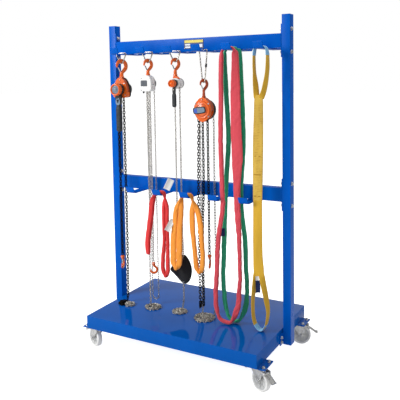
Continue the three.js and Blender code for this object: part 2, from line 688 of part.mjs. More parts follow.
// An endless sling: the legs meet in one bend below.
function loopSling({ x, y, depth, armTop, rise, left, right, outerBend, innerBend }) {
  const outer = polygon([
    ...overArm(x, armTop, rise), ...rightEdge(right), ...outerBend,
    ...leftEdge(left).reverse(),
  ]);
  const inner = polygon([
    [x - ARM_HALF - 0.6, armTop + GAP], [x + ARM_HALF + 0.6, armTop + GAP],
    [x + ARM_HALF + 0.6, armTop - 10], ...leftEdge(right), ...innerBend,
    ...rightEdge(left).reverse(), [x - ARM_HALF - 0.6, armTop - 10],
  ]);
  return cut(plateY(outer, y - depth / 2, y + depth / 2),
    plateY(inner, y - depth / 2 - 1, y + depth / 2 + 1));
}

// A short sling folded over a lower arm: each leg ends at its own height.
function foldedSling({ x, y, depth, rise, left, right, leftEnd, rightEnd }) {
  const armTop = ARM_TOP_LOWER;
  const under = Math.max(left[0][0], right[0][0]) - 14;
  const outline = polygon([
    ...overArm(x, armTop, rise), ...rightEdge(right), ...rightEnd.slice().reverse(),
    ...leftEdge(right).reverse(), [x + ARM_HALF + 0.6, armTop - 12],
    [x + ARM_HALF + 0.6, armTop + GAP], [x - ARM_HALF - 0.6, armTop + GAP],
    [x - ARM_HALF - 0.6, armTop - 12], ...rightEdge(left), ...leftEnd.slice().reverse(),
    ...leftEdge(left).reverse(),
  ]);
  if (under > armTop) throw new Error('a leg starts above its arm');
  return plateY(outline, y - depth / 2, y + depth / 2);
}

add('red_round_sling', foldedSling({
  x: LOWER_HOOK_X[1],
  y: -108,
  depth: 34,
  rise: 26,
  left: [[1000, -272, -237], [932, -286, -248], [698, -323, -288], [612, -323, -290]],
  leftEnd: [[-316, 594], [-297, 594]],
  right: [[1000, -173, -138], [940, -190, -137], [714, -190, -137], [569, -208, -137],
    [490, -204, -138]],
  rightEnd: [[-190, 462], [-150, 462]],
}), MATERIAL.redSling);
add('orange_round_sling', foldedSling({
  x: LOWER_HOOK_X[2],
  y: -108,
  depth: 34,
  rise: 28,
  left: [[1000, -72, -32], [930, -98, -24], [722, -130, -40], [600, -133, -42], [560, -132, -46]],
  leftEnd: [[-112, 526], [-68, 526]],
  right: [[1000, 32, 76], [930, 14, 96], [850, 14, 116], [650, 36, 126], [560, 42, 120]],
  rightEnd: [[60, 526], [102, 526]],
}), MATERIAL.orangeSling);
add('crimson_round_sling', loopSling({
  x: UPPER_HOOK_X[4],
  y: -110,
  depth: 34,
  armTop: ARM_TOP_UPPER,
  rise: 20,
  left: [[1900, 240, 276], [1400, 230, 264], [1060, 237, 270], [960, 236, 269], [760, 204, 238],
    [420, 182, 215], [330, 184, 216]],
  right: [[1900, 330, 374], [1600, 314, 384], [1300, 318, 396], [1090, 328, 378],
    [960, 334, 378], [780, 348, 381], [560, 354, 382], [400, 338, 374], [330, 318, 362]],
  outerBend: [[326, DECK.top + 14], [290, DECK.top + 2], [240, DECK.top + 2],
    [206, DECK.top + 22]],
  innerBend: [[296, DECK.top + 40], [250, DECK.top + 36], [226, DECK.top + 56]],
}), MATERIAL.crimsonSling);
add('green_round_sling', loopSling({
  x: UPPER_HOOK_X[4],
  y: -70,
  depth: 34,
  armTop: ARM_TOP_UPPER,
  rise: 20,
  left: [[1900, 244, 276], [1400, 264, 298], [1150, 246, 280], [1010, 237, 271],
    [860, 228, 264], [520, 216, 248], [350, 226, 262]],
  right: [[1900, 339, 380], [1400, 350, 398], [1120, 348, 379], [960, 348, 379],
    [770, 368, 402], [440, 380, 410], [340, 362, 402]],
  outerBend: [[372, DECK.top + 26], [336, DECK.top + 2], [276, DECK.top + 2],
    [248, DECK.top + 30]],
  innerBend: [[334, DECK.top + 44], [304, DECK.top + 34], [274, DECK.top + 52]],
}), MATERIAL.greenSling);

// A webbing sling with an eye at each end: the upper eye hangs over the last arm.
function eyeSling() {
  const x = UPPER_HOOK_X[5];
  const armTop = ARM_TOP_UPPER;
  const bottom = DECK.top + 2;
  const [y0, y1] = [-127, -79];
  const left = [[1900, 459, 481], [1800, 462, 480], [1700, 472, 494], [1600, 464, 500],
    [1340, 455, 490], [1040, 453, 490], [740, 450, 490], [620, 450, 492], [516, 443, 478],
    [420, 433, 463], [325, 436, 463], [276, 450, 478]];
  const right = [[1900, 544, 568], [1800, 542, 564], [1700, 520, 552], [1600, 500, 534],
    [1340, 490, 527], [1040, 490, 518], [740, 490, 517], [620, 488, 526], [516, 502, 540],
    [434, 520, 555], [360, 530, 564], [290, 516, 556]];
  const outer = polygon([
    ...overArm(x, armTop, 14), ...rightEdge(right),
    [530, bottom + 8], [506, bottom], [478, bottom + 6], ...leftEdge(left).reverse(),
  ]);
  const upperEye = polygon([
    [x - ARM_HALF - 0.6, armTop + GAP], [x + ARM_HALF + 0.6, armTop + GAP],
    [x + ARM_HALF + 0.6, armTop - 10], [544, 1900], [542, 1800], [520, 1700], [507, 1660],
    [494, 1700], [480, 1800], [481, 1900], [x - ARM_HALF - 0.6, armTop - 10],
  ]);
  const lowerEye = polygon([
    [490, 580], [502, 516], [520, 434], [530, 360], [520, 296], [506, bottom + 18],
    [488, bottom + 22], [466, 286], [463, 325], [463, 420], [478, 516],
  ]);
  return cut(plateY(outer, y0, y1), plateY(upperEye, y0 - 1, y1 + 1),
    plateY(lowerEye, y0 - 1, y1 + 1));
}
add('yellow_webbing_sling', eyeSling(), MATERIAL.yellowSling);

export default rack;
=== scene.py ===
"""Mobile lifting-gear rack with hoists and slings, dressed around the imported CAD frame.

Metres in the rack's own frame: +Z up, floor at Z = 0, X along the beams, the gear hung on
the -Y side. Shapes are written in millimetres.
"""
import math
import random

import bmesh
import bpy
from mathutils import Matrix, Vector, noise


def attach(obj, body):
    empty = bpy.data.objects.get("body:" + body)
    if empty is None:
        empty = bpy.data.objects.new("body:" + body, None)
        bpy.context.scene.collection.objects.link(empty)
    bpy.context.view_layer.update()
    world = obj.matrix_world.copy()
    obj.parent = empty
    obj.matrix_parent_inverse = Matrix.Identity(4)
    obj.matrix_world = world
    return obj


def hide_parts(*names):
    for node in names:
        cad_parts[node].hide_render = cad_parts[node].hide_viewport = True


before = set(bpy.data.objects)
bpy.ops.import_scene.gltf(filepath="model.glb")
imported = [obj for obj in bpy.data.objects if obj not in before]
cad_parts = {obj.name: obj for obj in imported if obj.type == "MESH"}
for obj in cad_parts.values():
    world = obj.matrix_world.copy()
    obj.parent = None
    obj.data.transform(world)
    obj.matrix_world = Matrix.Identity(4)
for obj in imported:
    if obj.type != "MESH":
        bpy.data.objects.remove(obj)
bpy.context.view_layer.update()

MM = 0.001
TAU = 2 * math.pi
scene = bpy.context.scene

# ---------------------------- camera

FOCAL_LENGTH = 52.737
CAMERA_PLACE = Vector((1.8658, -3.2689, 1.7629))
CAMERA_YAW, CAMERA_PITCH, CAMERA_ROLL = (math.radians(a) for a in (29.14, -4.62, -0.92))
CAMERA_SHIFT_Y = -0.1854


def make_camera():
    data = bpy.data.cameras.new("camera")
    data.lens = FOCAL_LENGTH
    data.sensor_width = 36.0
    data.shift_y = CAMERA_SHIFT_Y
    camera = bpy.data.objects.new("camera", data)
    scene.collection.objects.link(camera)
    turn = (Matrix.Rotation(CAMERA_YAW, 4, "Z")
            @ Matrix.Rotation(math.pi / 2 + CAMERA_PITCH, 4, "X")
            @ Matrix.Rotation(CAMERA_ROLL, 4, "Z"))
    camera.matrix_world = Matrix.Translation(CAMERA_PLACE) @ turn
    scene.camera = camera


make_camera()

# ---------------------------- the frame's dimensions

LIFT = 0.3  # the CAD's clearance, in millimetres
DECK_TOP = 235
UPPER_ARM = 1936 - LIFT
LOWER_ARM = 1018 - LIFT
POST_OUTER = 656.3
POST_INNER = 606.3
UPPER_BEAM = (1936, 2020)
LOWER_BEAM = (1018, 1102)
BEAM_FRONT = -10
BEAM_BACK = 40
HOOK_PITCH = 205
UPPER_X = [(i - 2.5) * HOOK_PITCH for i in range(6)]
LOWER_X = [(i - 2) * HOOK_PITCH for i in range(5)]
HANG_Y = (-72, -60, -52, -50)

# ---------------------------- materials


class Surface:
    """A principled material, with short calls for its nodes."""

    def __init__(self, name, **values):
        self.material = bpy.data.materials.new(name)
        self.material.use_nodes = True
        self.tree = self.material.node_tree
        self.shader = self.tree.nodes["Principled BSDF"]
        for socket, value in values.items():
            self.shader.inputs[socket.replace("_", " ")].default_value = value
        place = self.tree.nodes.new("ShaderNodeTexCoord")
        self.object = place.outputs["Object"]
        self.uv = place.outputs["UV"]

    def node(self, kind, settings=None, **inputs):
        node = self.tree.nodes.new("ShaderNode" + kind)
        for key, value in (settings or {}).items():
            setattr(node, key, value)
        for key, value in inputs.items():
            self.feed(node.inputs[key.replace("_", " ")], value)
        return node

    def feed(self, socket, value):
        """Links an input to another node's output, or sets it."""
        if isinstance(value, bpy.types.NodeSocket):
            self.tree.links.new(value, socket)
        else:
            socket.default_value = value

    def drive(self, name, source):
        """Links one of the shader's own inputs."""
        self.tree.links.new(source, self.shader.inputs[name])

    def stretch(self, source, scale):
        node = self.node("Mapping", Vector=source)
        node.inputs["Scale"].default_value = scale
        return node.outputs["Vector"]

    def noise(self, scale, detail=3.0, source=None, rough=0.5):
        node = self.node("TexNoise", Vector=source or self.object, Scale=scale, Detail=detail,
                         Roughness=rough)
        return node.outputs["Fac"]

    def bands(self, scale, source, direction="X", profile="SIN", distortion=0.0):
        settings = {"wave_type": "BANDS", "bands_direction": direction, "wave_profile": profile}
        node = self.node("TexWave", settings, Vector=source, Scale=scale, Distortion=distortion)
        return node.outputs["Fac"]

    def ramp(self, factor, *stops):
        node = self.node("ValToRGB", Fac=factor)
        ramp = node.color_ramp
        while len(ramp.elements) < len(stops):
            ramp.elements.new(0.5)
        for element, (position, color) in zip(ramp.elements, stops):
            element.position = position
            element.color = (*color, 1)
        return node.outputs["Color"]

    def grey(self, factor, low, high, start=0.3, end=0.7):
        node = self.node("MapRange", Value=factor, From_Min=start, From_Max=end,
                         To_Min=low, To_Max=high)
        return node.outputs["Result"]

    def math(self, operation, a, b):
        node = self.node("Math", {"operation": operation})
        self.feed(node.inputs[0], a)
        self.feed(node.inputs[1], b)
        return node.outputs[0]

    def mix(self, factor, a, b):
        node = self.node("Mix", {"data_type": "RGBA"})
        for name, value in (("Factor_Float", factor), ("A_Color", a), ("B_Color", b)):
            socket = next(s for s in node.inputs if s.identifier == name)
            self.feed(socket, (*value, 1) if isinstance(value, tuple) else value)
        return next(s for s in node.outputs if s.identifier == "Result_Color")

    def bump(self, height, distance, strength=0.6):
        node = self.node("Bump", Height=height, Distance=distance, Strength=strength)
        self.drive("Normal", node.outputs["Normal"])


def linear(red, green, blue):
    """An sRGB colour given as 0 to 255."""
    def one(v):
        v /= 255
        return v / 12.92 if v <= 0.04045 else ((v + 0.055) / 1.055) ** 2.4
    return (one(red), one(green), one(blue))


def shade(color, factor):
    return tuple(min(1, c * factor) for c in color)


def painted(name, color, rough=(0.2, 0.34), coat=0.2, shine=0.4, top_shine=None):
    """Sprayed paint: a faint orange peel and dust-dulled patches."""
    color = linear(*color)
    s = Surface(name, Coat_Weight=coat, Coat_Roughness=0.08, Specular_IOR_Level=shine)
    cloud = s.noise(5, 4)
    s.drive("Base Color", s.ramp(cloud, (0.3, shade(color, 0.93)), (0.7, shade(color, 1.06))))
    scuffs = s.noise(30, 6, s.stretch(s.object, (1, 1, 0.15)), 0.65)
    s.drive("Roughness", s.grey(scuffs, rough[0], rough[1], 0.35, 0.75))
    if top_shine:
        up = s.node("SeparateXYZ", Vector=s.node("NewGeometry").outputs["Normal"]).outputs["Z"]
        s.drive("Specular IOR Level", s.grey(up, shine, top_shine, 0.5, 0.95))
    s.bump(s.noise(220, 2), 0.00002, 0.5)
    return s.material


def metal(name, color, rough, dirt=0.35):
    """Plated or bright steel, with a fine grain and darker handling marks."""
    color = linear(*color)
    s = Surface(name, Metallic=1.0)
    cloud = s.noise(38, 5)
    tone = s.ramp(cloud, (0.28, shade(color, 1 - dirt)), (0.5, color), (0.78, shade(color, 1.12)))
    s.drive("Base Color", tone)
    s.drive("Roughness", s.grey(s.noise(90, 4), rough[0], rough[1]))
    s.bump(s.noise(260, 3), 0.00008, 0.5)
    return s.material


def plastic(name, color, rough=(0.35, 0.55), pebble=600, depth=0.00005):
    """Moulded plastic or rubber, with a fine pebble and a little dust."""
    color = linear(*color)
    s = Surface(name, Specular_IOR_Level=0.4)
    cloud = s.noise(24, 4)
    s.drive("Base Color", s.ramp(cloud, (0.3, shade(color, 0.86)), (0.72, shade(color, 1.1))))
    s.drive("Roughness", s.grey(s.noise(60, 4), rough[0], rough[1]))
    s.bump(s.noise(pebble, 2), depth, 0.6)
    return s.material


def webbing(name, color, rib=0.00022, dark=0.62, stitches=None):
    """Woven polyester, sewn through if it has a stitch colour; the UV map is in metres, U along
    the band and V across it."""
    color = linear(*color)
    s = Surface(name, Sheen_Weight=0.35, Sheen_Roughness=0.4, Roughness=0.82,
                Specular_IOR_Level=0.25)
    across = s.bands(620 / TAU, s.uv, "Y")
    along = s.bands(460 / TAU, s.uv, "X")
    weave = s.math("MULTIPLY", s.math("ADD", across, 0.25), s.math("ADD", along, 0.35))
    wear = s.noise(14, 4, s.stretch(s.object, (1, 1, 0.25)))
    base = s.ramp(wear, (0.25, shade(color, 0.8)), (0.5, color), (0.8, shade(color, 1.16)))
    fibre = s.mix(s.grey(weave, 0.42, 0, 0.1, 0.9), base, shade(color, dark))
    if stitches:
        rows = s.bands(34, s.uv, "X", "SAW", 2.0)
        patchy = s.noise(46, 4, s.stretch(s.object, (1, 1, 0.5)))
        sewn = s.math("MULTIPLY", s.grey(rows, 0, 1, 0.55, 0.9), s.grey(patchy, 0, 0.8, 0.42, 0.62))
        fibre = s.mix(sewn, fibre, linear(*stitches))
    fuzz = s.noise(900, 2)
    s.drive("Base Color", s.mix(s.grey(fuzz, 0, 0.16, 0.45, 0.8), fibre, shade(color, 1.3)))
    s.bump(s.math("ADD", weave, s.math("MULTIPLY", fuzz, 0.4)), rib, 0.8)
    return s.material


M = {
    "blue": painted("blue_powder_coat", (0, 90, 192), coat=0.0, shine=0.05),
    "deck": painted("blue_deck_gloss", (0, 87, 176), (0.04, 0.08), coat=0.0, shine=0.08,
                    top_shine=0.5),
    "orange": painted("orange_enamel", (232, 102, 28), (0.22, 0.36)),
    "white": painted("white_enamel", (236, 236, 234), (0.2, 0.34)),
    "black": painted("black_enamel", (22, 22, 24), (0.25, 0.4)),
    "panel": painted("grey_blue_panel", (120, 138, 156), (0.2, 0.35)),
    "dark_panel": painted("dark_grey_panel", (78, 84, 92), (0.25, 0.4)),
    "cover_grey": painted("warm_grey_cover", (126, 126, 124), (0.3, 0.45)),
    "label_yellow": painted("yellow_plate", (226, 206, 84), (0.3, 0.45)),
    "label_navy": painted("dark_blue_plate", (14, 44, 104), (0.3, 0.45)),
    "label_blue": painted("blue_plate", (52, 88, 190), (0.3, 0.45)),
    "label_white": painted("white_plate", (226, 230, 236), (0.3, 0.45)),
    "rust": painted("burnt_orange_enamel", (176, 72, 30), (0.28, 0.45)),
    "zinc": metal("zinc_plate", (208, 208, 206), (0.2, 0.42)),
    "steel": metal("bright_steel", (178, 173, 164), (0.16, 0.34)),
    "chain": metal("galvanised_chain", (190, 186, 178), (0.2, 0.4), dirt=0.55),
    "black_chain": metal("blackened_chain", (26, 25, 24), (0.4, 0.6), dirt=0.5),
    "tread": plastic("grey_tread", (240, 240, 238)),
    "hub": plastic("grey_hub", (200, 201, 200), (0.3, 0.5)),
    "rubber": plastic("dark_rubber", (38, 42, 46), (0.5, 0.75), 380, 0.00012),
    "red": webbing("red_sling", (228, 60, 60)),
    "crimson": webbing("crimson_sling", (216, 76, 88)),
    "orange_web": webbing("orange_sling", (252, 158, 60)),
    "green": webbing("green_sling", (44, 164, 120)),
    "yellow_dark": webbing("yellow_seam", (176, 132, 36)),
    "yellow": webbing("yellow_sling", (220, 174, 52)),
    "yellow_sewn": webbing("yellow_sewn_sling", (220, 182, 78), stitches=(150, 96, 20)),
    "sleeve": webbing("light_blue_sleeve", (132, 186, 222)),
    "tag_white": webbing("white_tag", (232, 232, 230), rib=0.0001),
    "tag_blue": webbing("dark_blue_tag", (26, 44, 92), rib=0.0001),
    "bag": webbing("black_bag_cloth", (30, 30, 32), rib=0.0003, dark=0.5),
}

# ---------------------------- mesh helpers


def put(name, mesh, material, body, replaces, smooth, bevel, levels=0):
    """Puts a mesh in the scene with its looks, riding on a CAD body."""
    mesh.materials.append(material)
    obj = bpy.data.objects.new(name, mesh)
    scene.collection.objects.link(obj)
    if smooth:
        for polygon in mesh.polygons:
            polygon.use_smooth = True
    if bevel:
        mod = obj.modifiers.new("rounded_edges", "BEVEL")
        mod.width = bevel * MM
        mod.segments = 3
        mod.limit_method = "ANGLE"
        mod.angle_limit = math.radians(38)
        mod.harden_normals = True
    if levels:
        mod = obj.modifiers.new("smooth", "SUBSURF")
        mod.levels = mod.render_levels = levels
    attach(obj, body)
    if replaces:
        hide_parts(replaces)


def piece(name, shape, material, body="rack", slot="black_nylon", replaces=None, smooth=True,
          bevel=None, levels=0, uvs=None, place=Matrix()):
    """A mesh piece from (points, faces) in millimetres, moved by place."""
    verts, faces = shape
    mesh = bpy.data.meshes.new(name)
    mesh.from_pydata([(place @ Vector(v)) * MM for v in verts], [], faces)
    bm = bmesh.new()
    bm.from_mesh(mesh)
    bmesh.ops.recalc_face_normals(bm, faces=bm.faces)
    bm.to_mesh(mesh)
    bm.free()
    if uvs:
        layer = mesh.uv_layers.new(name="UVMap")
        for loop in mesh.loops:
            layer.data[loop.index].uv = uvs[loop.vertex_index]
    put(name, mesh, material, body, replaces, smooth, bevel, levels)


def rounded_copy(node, finish, material, bevel, body="rack"):
    """The CAD node's own shape with its edges rounded, in place of the sharp one."""
    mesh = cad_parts[node].data.copy()
    bm = bmesh.new()
    bm.from_mesh(mesh)
    bmesh.ops.remove_doubles(bm, verts=bm.verts, dist=1e-6)
    bmesh.ops.dissolve_limit(bm, angle_limit=math.radians(1), verts=bm.verts, edges=bm.edges)
    bmesh.ops.recalc_face_normals(bm, faces=bm.faces)
    bm.to_mesh(mesh)
    bm.free()
    mesh.materials.clear()
    put(f"{node}_{finish}", mesh, material, body, node, True, bevel)


def at(x, y, z):
    return Matrix.Translation((x, y, z))


def spin(degrees, axis="Z"):
    return Matrix.Rotation(math.radians(degrees), 4, axis)


FACE_Y = spin(90, "X")  # turns Z to -Y, so along runs forwards
FACE_BACK = spin(-90, "X")


def oval(wide, deep, count, start=0.0):
    return [(wide * math.cos(start + TAU * i / count), deep * math.sin(start + TAU * i / count))
            for i in range(count)]


def band(a, b, count):
    """Faces between two rings of points that start at a and at b."""
    return [(a + i, a + (i + 1) % count, b + (i + 1) % count, b + i) for i in range(count)]


def merged(parts):
    """One list of points and faces from several."""
    verts, faces = [], []
    for part_verts, part_faces in parts:
        base = len(verts)
        verts += [tuple(v) for v in part_verts]
        faces += [tuple(i + base for i in face) for face in part_faces]
    return verts, faces


def moved(part, matrix):
    return [matrix @ Vector(v) for v in part[0]], part[1]


def lathe(profile, sides=48):
    """[radius, along] pairs turned about Z; ends on the axis close themselves."""
    verts, faces, rings = [], [], []
    for radius, along in profile:
        if radius < 1e-6:
            rings.append([len(verts)])
            verts.append((0, 0, along))
        else:
            rings.append(list(range(len(verts), len(verts) + sides)))
            verts += [(x, y, along) for x, y in oval(radius, radius, sides)]
    for a, b in zip(rings, rings[1:]):
        for i in range(sides):
            j = (i + 1) % sides
            if len(a) == 1 and len(b) > 1:
                faces.append((a[0], b[i], b[j]))
            elif len(b) == 1 and len(a) > 1:
                faces.append((a[i], a[j], b[0]))
            elif len(a) > 1:
                faces.append((a[i], a[j], b[j], b[i]))
    return verts, faces


def closed_lathe(profile, sides=48):
    """The same for a profile that is a closed ring off the axis."""
    return lathe(profile + profile[:1], sides)


def prism(outline, y0, y1):
    """A closed XZ outline between two depths."""
    count = len(outline)
    verts = [(x, y0, z) for x, z in outline] + [(x, y1, z) for x, z in outline]
    faces = [tuple(range(count)), tuple(range(2 * count - 1, count - 1, -1))]
    return verts, faces + band(0, count, count)


def ring_prism(outer, inner, y0, y1):
    """A closed XZ outline with a hole that has the same number of points."""
    count = len(outer)
    verts = [(x, y, z) for y in (y0, y1) for ring in (outer, inner) for x, z in ring]
    faces = []
    for i in range(count):
        j = (i + 1) % count
        faces += [(i, j, count + j, count + i), (2 * count + i, 3 * count + i, 3 * count + j,
                                                 2 * count + j),
                  (i, 2 * count + i, 2 * count + j, j),
                  (count + i, count + j, 3 * count + j, 3 * count + i)]
    return verts, faces


def curved(outline, rounds=2):
    """Corner cutting: a soft outline from a few corners."""
    for _ in range(rounds):
        cut = []
        for (ax, az), (bx, bz) in zip(outline, outline[1:] + outline[:1]):
            cut += [(ax * 0.75 + bx * 0.25, az * 0.75 + bz * 0.25),
                    (ax * 0.25 + bx * 0.75, az * 0.25 + bz * 0.75)]
        outline = cut
    return outline


def spline(points, step=8.0, closed=False):
    """Points a step apart along a smooth curve through the given ones."""
    count = len(points)
    points = [Vector(p) for p in points]
    out = []
    spans = count if closed else count - 1
    for i in range(spans):
        if closed:
            p = [points[(i + k) % count] for k in (-1, 0, 1, 2)]
        else:
            p = [points[min(max(i + k, 0), count - 1)] for k in (-1, 0, 1, 2)]
        parts = max(2, int((p[2] - p[1]).length / step))
        for n in range(parts):
            t = n / parts
            out.append(0.5 * (2 * p[1] + (p[2] - p[0]) * t
                              + (2 * p[0] - 5 * p[1] + 4 * p[2] - p[3]) * t * t
                              + (3 * p[1] - p[0] - 3 * p[2] + p[3]) * t ** 3))
    if not closed:
        out.append(points[-1])
    return out


def even(points, step, closed=False):
    """The same line with points exactly a step apart, or nearly so when closed."""
    line = [Vector(p) for p in points]
    line += line[:1] if closed else []
    lengths = [(b - a).length for a, b in zip(line, line[1:])]
    total = sum(lengths)
    count = max(2, int(round(total / step)))
    if closed or step * count > total:
        step = total / count
    out, travelled, i = [], 0.0, 0
    for n in range(count + (0 if closed else 1)):
        target = min(n * step, total - 1e-6)
        while travelled + lengths[i] < target and i < len(lengths) - 1:
            travelled += lengths[i]
            i += 1
        t = (target - travelled) / max(lengths[i], 1e-9)
        out.append(line[i].lerp(line[i + 1], min(max(t, 0), 1)))
    return out


def tangents(points, closed=False):
    count = len(points)
    out = []
    for i in range(count):
        a = points[(i - 1) % count] if closed else points[max(i - 1, 0)]
        b = points[(i + 1) % count] if closed else points[min(i + 1, count - 1)]
        out.append((b - a).normalized())
    return out


def frames(points, closed=False):
    """A turned-along frame at each point: (tangent, side)."""
    along = tangents(points, closed)
    side = Vector((0, 1, 0))
    out = []
    for t in along:
        side = side - t * side.dot(t)
        if side.length < 1e-4:
            side = t.orthogonal()
        side.normalize()
        out.append((t, side.copy()))
    if closed:  # spread the leftover twist along the loop
        t, last = out[-1]
        start = out[0][1]
        angle = math.atan2(t.dot(last.cross(start)), last.dot(start))
        count = len(out)
        out = [(t, Matrix.Rotation(angle * i / count, 3, t) @ s) for i, (t, s) in enumerate(out)]
    return out


def sweep(points, sections, sides, closed=False):
    """Joins a ring of points per section; sections give (point, side, up, list of (a, b))."""
    verts, faces = [], []
    for centre, side, up, ring in sections:
        verts += [centre + side * a + up * b for a, b in ring]
    count = len(points)
    for i in range(count if closed else count - 1):
        faces += band(i * sides, (i + 1) % count * sides, sides)
    if not closed:
        faces.append(tuple(range(sides)))
        faces.append(tuple((count - 1) * sides + k for k in reversed(range(sides))))
    return verts, faces


def tube(points, radius, sides, closed=False):
    """A round tube; radius is a number or a function of the share along it."""
    last = max(len(points) - 1, 1)
    sections = []
    for i, (t, side) in enumerate(frames(points, closed)):
        r = radius(i / last) if callable(radius) else radius
        sections.append((points[i], side, t.cross(side), oval(r, r, sides)))
    return sweep(points, sections, sides, closed)


def arc(x, z, radius, start, end, steps, y=0.0):
    return [(x + radius * math.cos(math.radians(start + (end - start) * i / steps)), y,
             z + radius * math.sin(math.radians(start + (end - start) * i / steps)))
            for i in range(steps + 1)]


def stud(radius, shoulder, top, height, sides=20):
    """A round stud with a chamfer from its shoulder to its top."""
    return lathe([(0, 0), (radius, 0), (radius, shoulder), (top, height), (0, height)], sides)


def hexagon(across, height):
    """A chamfered hexagon head that stands on Z = 0."""
    r = across / math.sqrt(3)
    return stud(r, height - 0.8, r * 0.9, height, 6)


def fastener(across, head, washer=True):
    """A hexagon head on its washer, with the bolt's end standing out of it."""
    r, thick = across * 0.72, 1.8
    disc = [lathe([(0, 0), (across * 0.68, 0), (r, 0.5), (r, 1.4), (across * 0.68, thick),
                   (0, thick)], 32)]
    base = thick if washer else 0
    end = stud(across * 0.28, 2.0, across * 0.22, 2.6)
    return merged((disc if washer else [])
                  + [moved(hexagon(across, head), at(0, 0, base)), moved(end, at(0, 0, base + head))])


def aim(x, y, z, direction):
    """A matrix that sends Z along direction, at a point."""
    turn = Vector((0, 0, 1)).rotation_difference(Vector(direction)).to_matrix().to_4x4()
    return at(x, y, z) @ turn


def bolt(across, head, *where):
    return moved(fastener(across, head), aim(*where))


# ---------------------------- chain


def link_mesh(wire, pitch, width):
    """One welded link, centred, long along Z and wide along X."""
    radius = (width - wire) / 2
    half = (pitch + wire) / 2 - radius
    centre = arc(0, half, radius, 0, 180, 5) + arc(0, -half, radius, 180, 360, 5)
    return tube([Vector(p) for p in centre], wire / 2, 6, closed=True)


def link_chain(paths, wire, pitch, width, seed=1, slack=0.0):
    """Links laid a pitch apart along each path, each turned a quarter from the last."""
    rng = random.Random(seed)
    verts, faces = link_mesh(wire, pitch, width)
    parts = []
    for path in paths:
        points = even(path, pitch)
        mid = [(a + b) / 2 for a, b in zip(points, points[1:])]
        run = [(b - a).normalized() for a, b in zip(points, points[1:])]
        side = Vector((1, 0.35, 0))
        for i, (place, t) in enumerate(zip(mid, run)):
            side = side - t * side.dot(t)
            if side.length < 1e-3:
                side = t.orthogonal()
            side.normalize()
            roll = (i % 2) * math.pi / 2 + math.pi / 4 + rng.uniform(-slack, slack)
            wide = Matrix.Rotation(roll, 3, t) @ side
            across = t.cross(wide)
            turn = Matrix((wide, across, t)).transposed().to_4x4()
            parts.append(([Matrix.Translation(place) @ turn @ Vector(v) for v in verts], faces))
    return merged(parts)


def heap_path(x, y, radius, height, turns, seed):
    """A loose coil that lies on the deck and climbs towards its middle."""
    rng = random.Random(seed)
    points = []
    steps = turns * 9
    low = DECK_TOP + 5
    inner = 0.25
    for i in range(steps + 1):
        share = i / steps
        angle = TAU * turns * share + rng.uniform(-0.25, 0.25)
        wave = 0.5 + 0.5 * math.cos(share * TAU * 2.5)
        r = min(radius * (inner + (1 - inner) * wave) * rng.uniform(0.82, 1.0), radius)
        crown = height * (1 - (r / radius) ** 2)
        z = low + crown * share * rng.uniform(0.6, 1.0)
        points.append(Vector((x + r * math.cos(angle), y + r * math.sin(angle), z)))
    return spline(points, 4)


# ---------------------------- rack

for node in ("left_post", "right_post", "upper_beam", "lower_beam"):
    rounded_copy(node, "painted", M["blue"], 3.0 if "post" in node else 2.4)
rounded_copy("deck_tray", "painted", M["deck"], 1.4)
for kind, xs in (("upper_hook", UPPER_X), ("lower_hook", LOWER_X)):
    for i in range(len(xs)):
        rounded_copy(f"{kind}_{i + 1}", "painted", M["blue"], 1.2)


def bead(points, radius=2.6, seed=3):
    """A weld bead: a low rippled ridge along a line."""
    line = even(points, 1.6)
    def size(share):
        return radius * (0.85 + 0.15 * math.sin(share * len(line) * 1.6)
                         + 0.12 * noise.noise(Vector((share * 40, seed, 0))))
    return tube(line, size, 8)


def welds():
    """Beads at the beam's end plates and where each hook bar meets its beam."""
    parts = []
    for low, high in (UPPER_BEAM, LOWER_BEAM):
        for side in (-1, 1):
            x = side * (POST_INNER - LIFT - 6 - 0.6)
            y0, y1 = BEAM_FRONT - 0.4, BEAM_BACK + 0.4
            for z in (low - 0.2, high + 0.2):
                parts.append(bead([(x, y0 + 2, z), (x, y1 - 2, z)], seed=z))
            for y in (y0, y1):
                parts.append(bead([(x, y, low + 2), (x, y, high - 2)], seed=y + side))
    for xs, low in ((UPPER_X, UPPER_BEAM[0]), (LOWER_X, LOWER_BEAM[0])):
        for x in xs:
            for y in (BEAM_FRONT - 0.6, BEAM_BACK + 0.6):
                parts.append(bead([(x - 27, y, low - 0.3), (x + 27, y, low - 0.3)], 2.2, x + y))
    piece("weld_beads", merged(parts), M["blue"], slot="blue_paint")


welds()


def rack_bolts():
    """Bolts through the posts at the beam ends and through the foot flanges."""
    parts = []
    for low, high in (UPPER_BEAM, LOWER_BEAM):
        for side in (-1, 1):
            for dz in (-67, 67):
                z = (low + high) / 2 + dz
                inner = side * (POST_INNER - 6 - LIFT)
                parts += [bolt(18, 7, side * POST_OUTER, 15, z, (side, 0, 0)),
                          bolt(18, 8, inner, 15, z, (-side, 0, 0))]
    for side in (-1, 1):
        for y in (-38, 78):
            for z in (190, 163):
                parts.append(bolt(17, 7, side * POST_INNER, y, z, (side, 0, 0)))
    piece("rack_bolts", merged(parts), M["zinc"], slot="zinc_steel", smooth=False, bevel=0.4)


rack_bolts()


